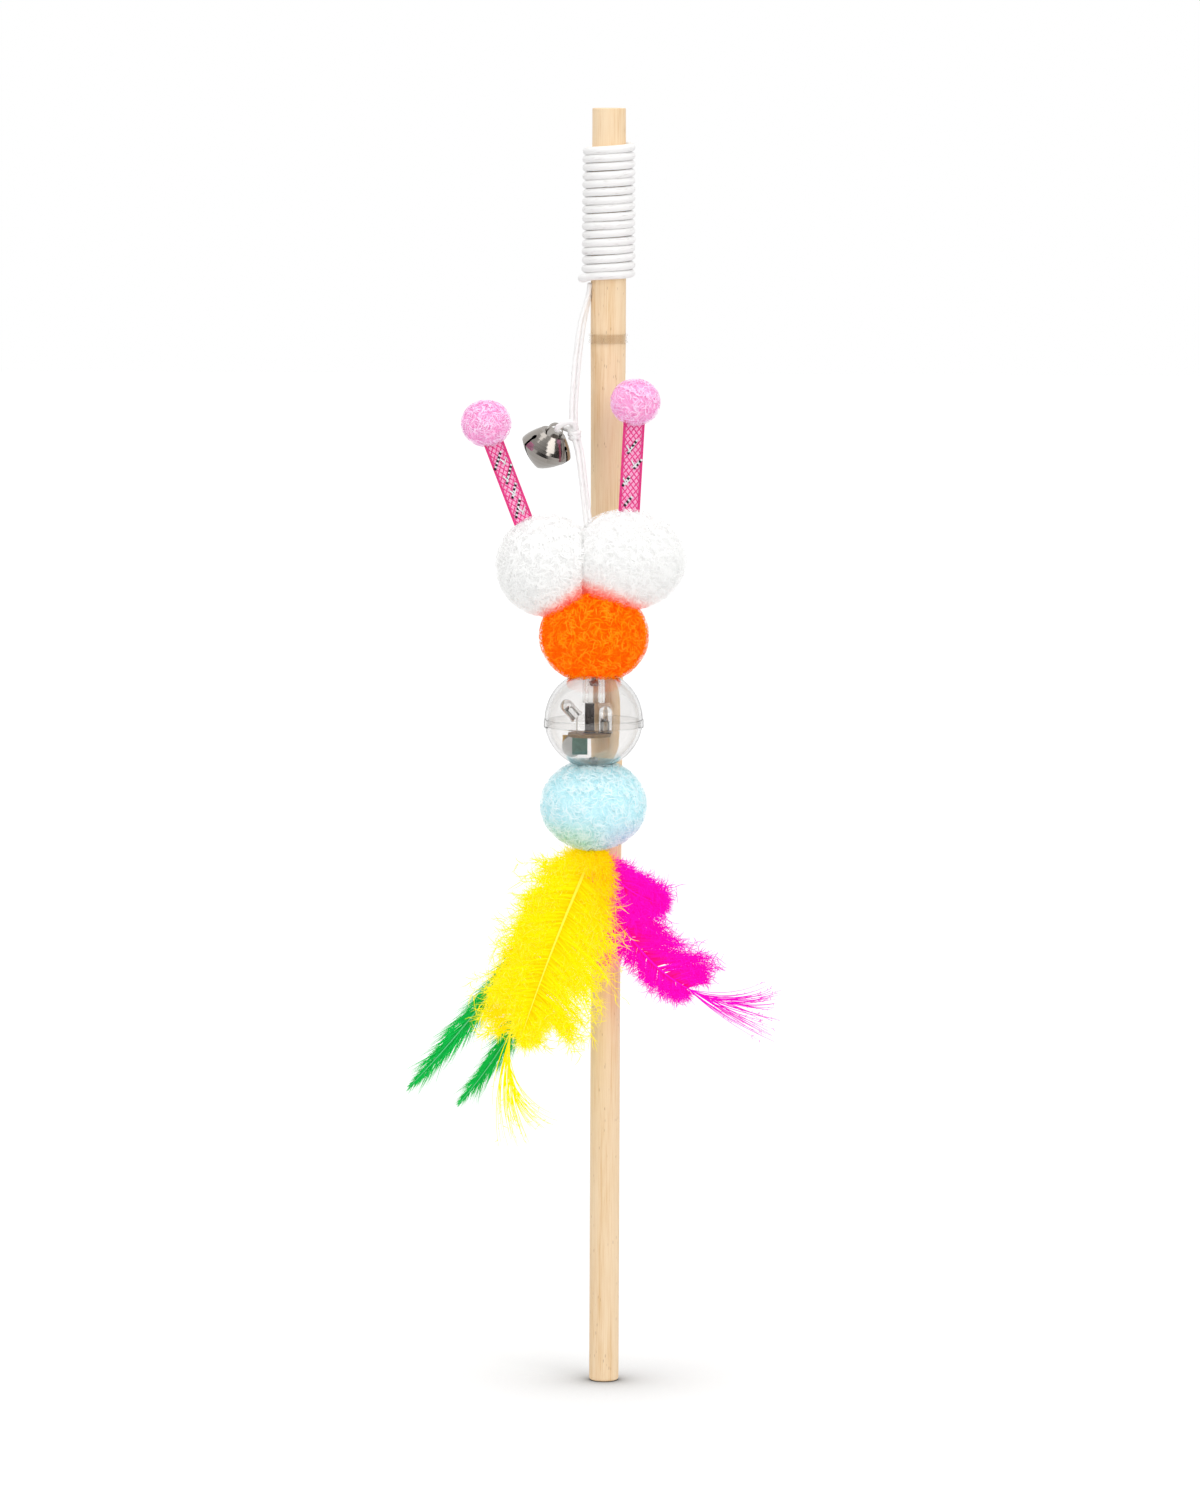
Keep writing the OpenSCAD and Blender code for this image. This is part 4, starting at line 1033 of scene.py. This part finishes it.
class WAND_OT_ball(bpy.types.Operator):
    """Gives the clear ball and its light module their plastics and metals, with the lamps' inner parts"""

    bl_idname = "wand.ball"
    bl_label = "Clear ball and lights"

    def execute(self, context):
        s = context.scene.wand_clear
        black = (0, 0, 0)
        shell = clear_plastic("polystyrene_clear", s.shell, 0.02, 1.45, 1.4)
        lens = clear_plastic("epoxy_lens", mid(s.shell, (0.5, 0.5, 0.52), 0.12), 0.1, 1.5)
        for node, material in (
            ("ball_upper_shell", shell), ("ball_lower_shell", shell), ("led_left", lens), ("led_right", lens),
            ("led_board", moulded("fibreglass_board", s.board, mid(s.board, black, 0.4), 0.5, 0.9)),
            ("battery_holder", moulded("abs_moulded_green", s.holder, mid(s.holder, black, 0.3), 0.45, 1.5)),
            ("battery_cells", plated("stainless_steel_cell", s.steel, 0.3)),
            ("spring_switch", plated("tinned_steel_can", s.can, 0.28)),
            ("contact_clip", plated("brass_strip", s.brass, 0.3)),
        ):
            material_on(node, material)
        self.lead_frames(s)
        return {"FINISHED"}

    def lead_frames(self, s):
        """The two posts inside each lamp, one with the cup that holds the chip."""
        steel = plated("tinned_lead_frame", s.steel, 0.3)
        for side, (foot, lean) in LAMPS.items():
            m = Matrix.Translation(Vector(SEAT) + Vector(foot)) @ turned(lean, "Y")
            parts = []
            for x, top, wide in ((-0.75, 4.3, 0.5), (0.65, 3.9, 0.28)):
                line = [[x, 0, 0.2], [x, 0, 1.6], [x, 0, top - 0.6], [x * 0.5, 0, top]]
                parts.append(tube(matrix_points(m, line), wide / 2, sides=6, width=1.5))
            cup = [[-0.45, 0, 3.5], [-0.4, 0, 3.9], [-0.35, 0, 4.5]]
            parts.append(tube(matrix_points(m, cup), [0.3, 0.5, 0.75]))
            tubes_piece(f"lead_frame_{side}", parts, steel, "ball")


# --- Feathers ---------------------------------------------------------------------------

CRIMP = np.array([-4, TOY_Y, 169.968])
QUILL = 1.3
# The vane's width at shares of its length
FULL = [(0, 0.5), (0.05, 0.66), (0.15, 0.8), (0.3, 0.92), (0.5, 1), (0.8, 0.94), (0.94, 0.75), (1, 0.5)]
FAN = [(0, 0.3), (0.1, 0.5), (0.3, 0.7), (0.5, 0.72), (0.62, 0.55), (0.7, 0.5), (1, 0.4)]
SWORD = [(0, 0.04), (0.05, 0.12), (0.15, 0.5), (0.35, 0.95), (0.55, 1), (0.75, 0.62), (0.9, 0.36), (1, 0.06)]
DART = [(0, 0.5), (0.1, 0.8), (0.35, 1), (0.6, 0.75), (0.85, 0.4), (1, 0.12)]
SPRAY = [(0, 0.5), (0.08, 0.8), (0.2, 1), (0.45, 1), (0.58, 0.85), (0.66, 0.5), (1, 0.4)]
# Each feather: CAD node, body, slot, root from the crimp, length, width, lean, curl, power, widths,
# depth, barbs on a side, barb angle, softness of the down, and where the sparse tip starts
FEATHERS = {
    "yellow_front": ("yellow_feather_front", "tail", "yellow_feather", (0, -QUILL * 0.8, 0.5),
                     60, 28, -24, 6, 1, FULL, -1.82, 520, 74, 1.0, 1.0),
    "yellow_back": ("yellow_feather_back", "tail", "yellow_feather", (-QUILL * 0.3, -QUILL * 0.1, 0.5),
                    94, 26, -27, 84, 4, FAN, 1.43, 440, 70, 1.0, 0.66),
    "green_left": ("green_feather_left", "green_spray", "green_feather", (-QUILL * 0.6, QUILL * 0.85, -0.6),
                   93, 13, -34, -10, 2, SWORD, 4.42, 560, 16, 0.0, 1.1),
    "green_inner": ("green_feather_inner", "green_spray", "green_feather", (0, QUILL, -0.6),
                    90.5, 13, -21, -20, 2, SWORD, 7.28, 560, 16, 0.0, 1.1),
    "magenta_long": ("magenta_feather_long", "magenta_spray", "magenta_feather", (QUILL, QUILL * 0.55, -0.6),
                     80, 18, 12, 86, 1.3, SPRAY, 4.42, 760, 58, 0.7, 0.66),
    "magenta_short": ("magenta_feather_short", "magenta_spray", "magenta_feather",
                      (QUILL, -QUILL * 0.6, -0.6), 26, 12, 30, 45, 1, DART, 0.39, 300, 44, 0.7, 1.0),
}
# The left vanes that draw in along their length, and by how much
DRAWN_IN = {
    "yellow_front": ([0.2, 0.5, 1], [1, 0.76, 0.6]),
    "magenta_long": ([0.1, 0.35, 0.66], [1, 0.6, 0.35]),
}
TUFTS = 60


class WAND_OT_feathers(bpy.types.Operator):
    """Makes the six dyed feathers, with quills, barbs and down"""

    bl_idname = "wand.feathers"
    bl_label = "Feathers"

    def execute(self, context):
        s = context.scene.wand_feather
        # Painted shade over the yellow feather's upper right and the magenta feathers' left edge; the green's
        # shade is a darker copy of its green
        upper_right_shade, left_edge_shade = region(0.75, Z=(140, 166), X=(-14, 2)), region(0.9, X=(6, -3))
        finishes = {
            "yellow_feather": dyed_feather("turkey_down_yellow", s.yellow, s.amber, s.lemon, upper_right_shade),
            "green_feather": dyed_feather("hackle_green", s.green, mid(s.green, (0, 0, 0), 0.25), s.mint,
                                          light=0.2),
            "magenta_feather": dyed_feather("turkey_down_magenta", s.magenta, s.crimson, s.magenta,
                                            left_edge_shade, 0.26),
        }
        for k, (name, (node, body, slot, *shape)) in enumerate(FEATHERS.items()):
            points, faces, tone = merged(self.feather(name, shape, s, 700 + 10 * k))
            piece = piece_of("feather_" + name, points, faces, finishes[slot], body, tone=tone)
            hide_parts(node)
        return {"FINISHED"}

    def feather(self, name, shape, s, seed):
        """A quill with a vane of barbs on each side: parts of (points, faces, tone)."""
        root, length, wide, lean, curl, power, widths, back, count, angle, softness, tip_from = shape
        rng = np.random.default_rng(seed)
        t = np.linspace(0, 1, 160)
        t_mid = (t[1:] + t[:-1]) / 2
        heading = np.radians(lean + curl * t_mid**power)
        step = length / len(t_mid) * np.stack([np.sin(heading), 0 * heading, -np.cos(heading)], 1)
        quill = CRIMP + root + np.concatenate([[[0, 0, 0]], np.cumsum(step, 0)]) - [0, 0.25, 0]
        quill[:, 1] += back * soft_step(t / 0.2)
        thick = s.quill_d / MM / 2 * np.interp(t, [0, 0.5, 1], [1, 0.62, 0.14])
        points, faces, _ = tube(quill[::3], thick[::3], sides=8)
        parts = [(points, faces, np.full(len(points), 0.95))]

        def quill_at(where):
            return np.stack([np.interp(where, t, quill[:, k]) for k in range(3)], 1)

        steps = 7
        u = np.linspace(0, 1, steps + 1)
        for side in (-1, 1):
            where = np.sort(rng.uniform(0.0, 1, count))
            where = where[where < tip_from]
            m = len(where)
            tuft = np.floor(where * 52 + rng.uniform(-0.7, 0.7, m)).astype(int)
            tuft = np.clip(tuft, 0, TUFTS - 1)
            angle_of, long_of, lift_of, curl_of = rng.normal(size=(TUFTS, 4))[tuft].T
            foot = quill_at(where)
            foot[:, 1] += rng.uniform(0.3, 1.4, m)
            head = np.interp(where, t_mid, heading)
            way = np.stack([np.sin(head), 0 * head, -np.cos(head)], 1)
            across = np.stack([np.cos(head), 0 * head, np.sin(head)], 1) * side
            half = wide / 2 * np.interp(where, *np.array(widths).T)
            if side < 0 and name in DRAWN_IN:
                half = half * np.interp(where, *DRAWN_IN[name])
            # Barbs near the end of the full vane turn along the quill and fill its end
            near_end = np.clip((where - 0.86) / 0.14, 0, 1) * (name == "yellow_front")
            a0 = np.radians(angle * (1 - 0.75 * near_end))
            a0 = a0 * (1 + 0.03 * angle_of) + rng.normal(scale=0.07, size=m)
            uneven = np.where(rng.random(m) < 0.25, rng.uniform(1.05, 1.55, m), rng.uniform(0.75, 1.04, m))
            long = half / np.maximum(np.sin(a0 * 0.8), 0.35) * (1 + 0.2 * long_of) * uneven
            long = np.where(near_end > 0, np.minimum(long, half * 0.6), long)
            long = np.clip(long, 1.5, wide * 1.3)
            lift = 0.14 * lift_of + rng.normal(scale=0.16, size=m)
            bow = rng.normal(scale=0.3, size=m) + 0.2 * curl_of

            def way_at(_, share):
                a = a0 * (1 - 0.3 * share) + 0.6 * bow * share * share
                return (way * np.cos(a)[:, None] + across * np.sin(a)[:, None]
                        + np.array([0, 0.6, 0]) * (lift + 0.4 * bow * share)[:, None])

            path = grown(foot, long, steps, way_at)
            # The barbs' ends draw together in tufts
            total, members = np.zeros((TUFTS, steps + 1, 3)), np.zeros(TUFTS)
            np.add.at(total, tuft, path)
            np.add.at(members, tuft, 1)
            gather = (0.2 + 0.4 * softness) * u[None, :, None] ** 3 * (rng.random(m) < 0.6)[:, None, None]
            path = path * (1 - gather) + (total[tuft] / members[tuft][:, None, None]) * gather
            # Barbs bow within the vane's thickness
            depth = foot[:, 1, None]
            path[:, :, 1] = depth + 1.7 * np.tanh((path[:, :, 1] - depth) / 1.7)
            profile = np.interp(u, [0, 0.3, 0.6, 0.85, 1], [0.9, 1, 0.7, 0.2, 0.05])
            width = s.barb_w / MM * profile[None, :] * rng.uniform(0.7, 1.25, (m, 1)) * (0.45 + 0.55 * softness)
            normal = np.cross(unit(np.gradient(path, axis=1)), [0, 1, 0])
            normal = unit(normal + rng.normal(scale=0.3, size=(m, 1, 3)) * [0, 1, 0])
            points, faces, along = strips(path, normal, width)
            # Low tone at the quill gives painted shade there, rising towards the tips
            tone = 0.12 + 0.6 * along + np.repeat(rng.normal(scale=0.14, size=m), 2 * (steps + 1))
            parts += [(points, faces, np.clip(tone, 0, 1)), self.down(rng, path, normal, softness)]
        if tip_from < 1:
            parts += self.fan(rng, quill_at, t_mid, heading, length, tip_from)
        if name == "yellow_front":
            parts += self.collar(rng)
        return parts

    def fan(self, rng, quill_at, t_mid, heading, length, tip_from):
        """Long loose barbs past the vane's end, which spread as they go."""
        m, steps = 44, 9
        where = tip_from + (1 - tip_from) * 0.62 * rng.random(m) ** 1.3
        side = rng.choice([-1, 1], m)
        spread = np.radians(rng.uniform(3, 24, m)) * side
        long = (1.03 - where) * length * rng.uniform(0.65, 1.1, m)

        def way_at(_, share):
            there = np.clip(where + 0.75 * share * (1 - where), 0, 1)
            a = np.interp(there, t_mid, heading) + spread * (0.75 + 0.6 * share**2)
            return np.stack([np.sin(a), 0.12 * np.sin(5 * share + where * 90), -np.cos(a)], 1)

        path = grown(quill_at(where), long, steps, way_at)
        normal = unit(np.cross(unit(np.gradient(path, axis=1)), [0, 1, 0]))
        profile = np.interp(np.linspace(0, 1, steps + 1), [0, 0.5, 1], [0.26, 0.2, 0.06])
        points, faces, along = strips(path, normal, profile[None, :] * rng.uniform(0.7, 1.3, (m, 1)))
        return [(points, faces, np.clip(0.4 + 0.6 * along, 0, 1)), self.down(rng, path, normal, 0.25, 0.5)]

    def collar(self, rng):
        """Down that starts on the crimp and covers it."""
        m, steps = 260, 5
        turn = rng.uniform(math.pi * 0.95, math.pi * 2.02, m)
        out = np.stack([np.cos(turn), np.sin(turn), 0 * turn], 1)
        root = CRIMP + out * rng.uniform(2.55, 2.9, (m, 1))
        root[:, 2] += rng.uniform(-1.0, 1.6, m)
        long = rng.uniform(2.5, 7.0, m)

        def way_at(k, _):
            outwards = out * (1.1 - 0.25 * k) * rng.uniform(0.4, 1.0, (m, 1))
            return outwards - [0, 0, 0.75] + rng.normal(scale=0.25, size=(m, 3))

        path = grown(root, long, steps, way_at)
        normal = unit(np.cross(unit(np.gradient(path, axis=1)), [0, 1, 0]))
        points, faces, along = strips(path, normal, [[0.3, 0.34, 0.28, 0.2, 0.12, 0.04]])
        # Low tone at the crimp gives painted shade at the roots of the collar
        return [(points, faces, np.clip(0.1 + 0.5 * along, 0, 1)), self.down(rng, path, normal, 0.5)]

    def down(self, rng, path, normal, softness, size=1.0):
        """Fine barbules along each barb, longer and looser towards its end: (points, faces, tone)."""
        steps = path.shape[1] - 1
        i = np.repeat(np.arange(len(path)), int(21 * softness))
        n = len(i)
        u = rng.uniform(0.1, 1.0, n) ** 0.65
        k = np.minimum((u * steps).astype(int), steps - 1)
        f = (u * steps - k)[:, None]
        root = path[i, k] * (1 - f) + path[i, k + 1] * f
        way = unit(path[i, k + 1] - path[i, k])
        out = unit(way * rng.uniform(0.3, 1.2, (n, 1)) + normal[i, k] * rng.normal(size=(n, 1))
                   + np.array([0, 1, 0]) * rng.normal(scale=0.45, size=(n, 1)))
        turn = unit(np.cross(out, [0, 1, 0])) * rng.normal(scale=1.1, size=(n, 1))
        long = rng.uniform(0.8, 3.2, n) * (0.4 + 1.4 * u) * (0.5 + 0.5 * softness) * size
        curl = grown(root, long, 3, lambda _, share: out + turn * share)
        across = unit(np.cross(curl[:, -1] - root, rng.normal(size=(n, 3))))[:, None, :]
        points, faces, along = strips(curl, across, [[0.17, 0.17, 0.14, 0.05]])
        return points, faces, np.clip(0.45 + 0.5 * along + np.repeat(rng.normal(scale=0.15, size=n), 8), 0, 1)


# --- Stage ------------------------------------------------------------------------------


class WAND_OT_stage(bpy.types.Operator):
    """Sets the camera, the soft lamps, the white surround and the pale floor"""

    bl_idname = "wand.stage"
    bl_label = "Stage"

    def execute(self, context):
        s = context.scene.wand_stage
        scene = context.scene
        scene.view_settings.view_transform = "Standard"
        self.camera(scene, s)
        for name, place, size, power in (
            ("key_lamp", (0.95, -1.5, 1.15), 1.1, s.key),
            ("fill_lamp", (-1.35, -1.2, 0.7), 1.4, s.fill),
            ("top_lamp", (0.0, -0.15, 1.5), 1.2, s.top),
        ):
            lamp = bpy.data.lights.new(name, "AREA")
            lamp.size, lamp.energy = size, power
            one = bpy.data.objects.new(name, lamp)
            one.location = place
            one.rotation_euler = (Vector((0, 0, 0.2)) - Vector(place)).to_track_quat("-Z", "Y").to_euler()
            scene.collection.objects.link(one)
        self.surround(scene, s)
        self.floor(s)
        return {"FINISHED"}

    def camera(self, scene, s):
        """The camera looks at the wand's middle from a little above, with the photograph's framing."""
        away = Vector((0, math.cos(s.elevation), -math.sin(s.elevation)))
        up = Vector((0, math.sin(s.elevation), math.cos(s.elevation)))
        right = Vector((1, 0, 0))
        place = Vector((0, 0, 0.198)) - away * s.distance
        c, n = math.cos(s.roll), math.sin(s.roll)
        right, up = c * right + n * up, c * up - n * right
        # The wand stands a little left of the middle of the frame and above it
        away = (away - right * 0.000877 + up * 0.000766).normalized()
        right = away.cross(up).normalized()
        up = right.cross(away)
        data = bpy.data.cameras.new("camera")
        data.sensor_fit, data.sensor_height, data.lens = "VERTICAL", 24, s.lens
        data.clip_start, data.clip_end = 0.1, 50
        camera = bpy.data.objects.new("camera", data)
        camera.matrix_world = Matrix((
            (right.x, up.x, -away.x, place.x), (right.y, up.y, -away.y, place.y),
            (right.z, up.z, -away.z, place.z), (0, 0, 0, 1)))
        scene.collection.objects.link(camera)
        scene.camera = camera

    def surround(self, scene, s):
        world = bpy.data.worlds.new("white_surround")
        world.use_nodes = True
        scene.world = world
        tree = world.node_tree
        tree.nodes.clear()
        path = add(tree, "ShaderNodeLightPath").outputs
        x, y, z = add(tree, "ShaderNodeSeparateXYZ",
                      {0: add(tree, "ShaderNodeTexCoord").outputs["Generated"]}).outputs
        # Polished surfaces see the dim room round the camera, and a brighter ceiling over it
        room = add(tree, "ShaderNodeMapRange", {"Value": z, "From Min": 0.12, "From Max": 0.75, "To Min": 0.97,
                                                "To Max": 0.35}).outputs[0]
        room = maths(tree, "MULTIPLY", room, smooth(tree, y, 0.4, -0.15))
        seen = mixed(tree, maths(tree, "MULTIPLY", room, path["Is Glossy Ray"]), (1, 1, 1), (0.02, 0.02, 0.022))
        back = add(tree, "ShaderNodeBackground", {"Color": seen, "Strength": 1.0})
        light = add(tree, "ShaderNodeBackground", {"Color": (1, 1, 1, 1), "Strength": s.ambient})
        mix = add(tree, "ShaderNodeMixShader", {0: self.looked_at(tree, path), 1: light.outputs[0],
                                                2: back.outputs[0]})
        add(tree, "ShaderNodeOutputWorld", {"Surface": mix.outputs[0]})

    def looked_at(self, tree, path, glossy=1.0):
        seen = maths(tree, "ADD", path["Is Camera Ray"], maths(tree, "MULTIPLY", path["Is Glossy Ray"], glossy))
        return maths(tree, "ADD", seen, path["Is Transmission Ray"], clamp=True)

    def floor(self, s):
        """A pale floor that reads as white, with a painted soft shadow."""
        material = bpy.data.materials.new("paper_floor")
        material.use_nodes = True
        tree = material.node_tree
        tree.nodes.clear()
        path = add(tree, "ShaderNodeLightPath").outputs
        plain = add(tree, "ShaderNodeBsdfDiffuse", {"Color": (0.8, 0.8, 0.8, 1)})
        # The shadow at the wand's foot is painted, soft and close, where ambient occlusion darkens the floor;
        # further off the floor is as white as the surround
        clear = add(tree, "ShaderNodeAmbientOcclusion", {"Distance": 0.05}, samples=16).outputs["AO"]
        shade = maths(tree, "POWER", clear, 2.0)
        where = add(tree, "ShaderNodeTexCoord").outputs["Object"]
        away = add(tree, "ShaderNodeVectorMath", {0: where}, operation="LENGTH").outputs["Value"]
        bright = maths(tree, "ADD", maths(tree, "MULTIPLY", smooth(tree, away, 0.1, 1.2), 0.25), 0.28)
        paper = ramp(tree, shade, (0.0, (0, 0, 0)), (1.0, (0.75, 0.75, 0.75)))
        soft = add(tree, "ShaderNodeBsdfDiffuse", {"Color": paper})
        shine = add(tree, "ShaderNodeEmission", {"Color": (1, 1, 1, 1),
                                                 "Strength": maths(tree, "MULTIPLY", bright, shade)})
        both = add(tree, "ShaderNodeAddShader", {0: soft.outputs[0], 1: shine.outputs[0]})
        mix = add(tree, "ShaderNodeMixShader", {0: self.looked_at(tree, path, 0.25), 1: plain.outputs[0],
                                                2: both.outputs[0]})
        add(tree, "ShaderNodeOutputMaterial", {"Surface": mix.outputs[0]})
        mesh = bpy.data.meshes.new("floor")
        mesh.from_pydata([(-6, -6, 0), (6, -6, 0), (6, 6, 0), (-6, 6, 0)], [], [(0, 1, 2, 3)])
        mesh.materials.append(material)
        floor = bpy.data.objects.new("floor", mesh)
        floor.location.z = -0.0001
        bpy.context.scene.collection.objects.link(floor)


# --- Panel and registration -------------------------------------------------------------

OPERATORS = (WAND_OT_stage, WAND_OT_dowel, WAND_OT_cords, WAND_OT_hardware, WAND_OT_pompoms, WAND_OT_feelers,
             WAND_OT_ball, WAND_OT_feathers)


class WAND_PT_panel(bpy.types.Panel):
    bl_idname = "WAND_PT_panel"
    bl_label = "Teaser wand"
    bl_space_type = "VIEW_3D"
    bl_region_type = "UI"
    bl_category = "Teaser wand"

    def draw(self, context):
        for group, kind in GROUPS.items():
            box = self.layout.box()
            for name in kind.__annotations__:
                box.prop(getattr(context.scene, group), name)
        for operator in OPERATORS:
            self.layout.operator(operator.bl_idname)


CLASSES = (*GROUPS.values(), *OPERATORS, WAND_PT_panel)


def register():
    for one in CLASSES:
        bpy.utils.register_class(one)
    for name, kind in GROUPS.items():
        setattr(bpy.types.Scene, name, PointerProperty(type=kind))


def unregister():
    for name in GROUPS:
        delattr(bpy.types.Scene, name)
    for one in reversed(CLASSES):
        bpy.utils.unregister_class(one)


def main():
    register()
    bpy.ops.wand.stage()
    bpy.ops.wand.dowel()
    bpy.ops.wand.cords()
    bpy.ops.wand.hardware()
    bpy.ops.wand.pompoms()
    bpy.ops.wand.feelers()
    bpy.ops.wand.ball()
    bpy.ops.wand.feathers()


if __name__ == "__main__":
    main()
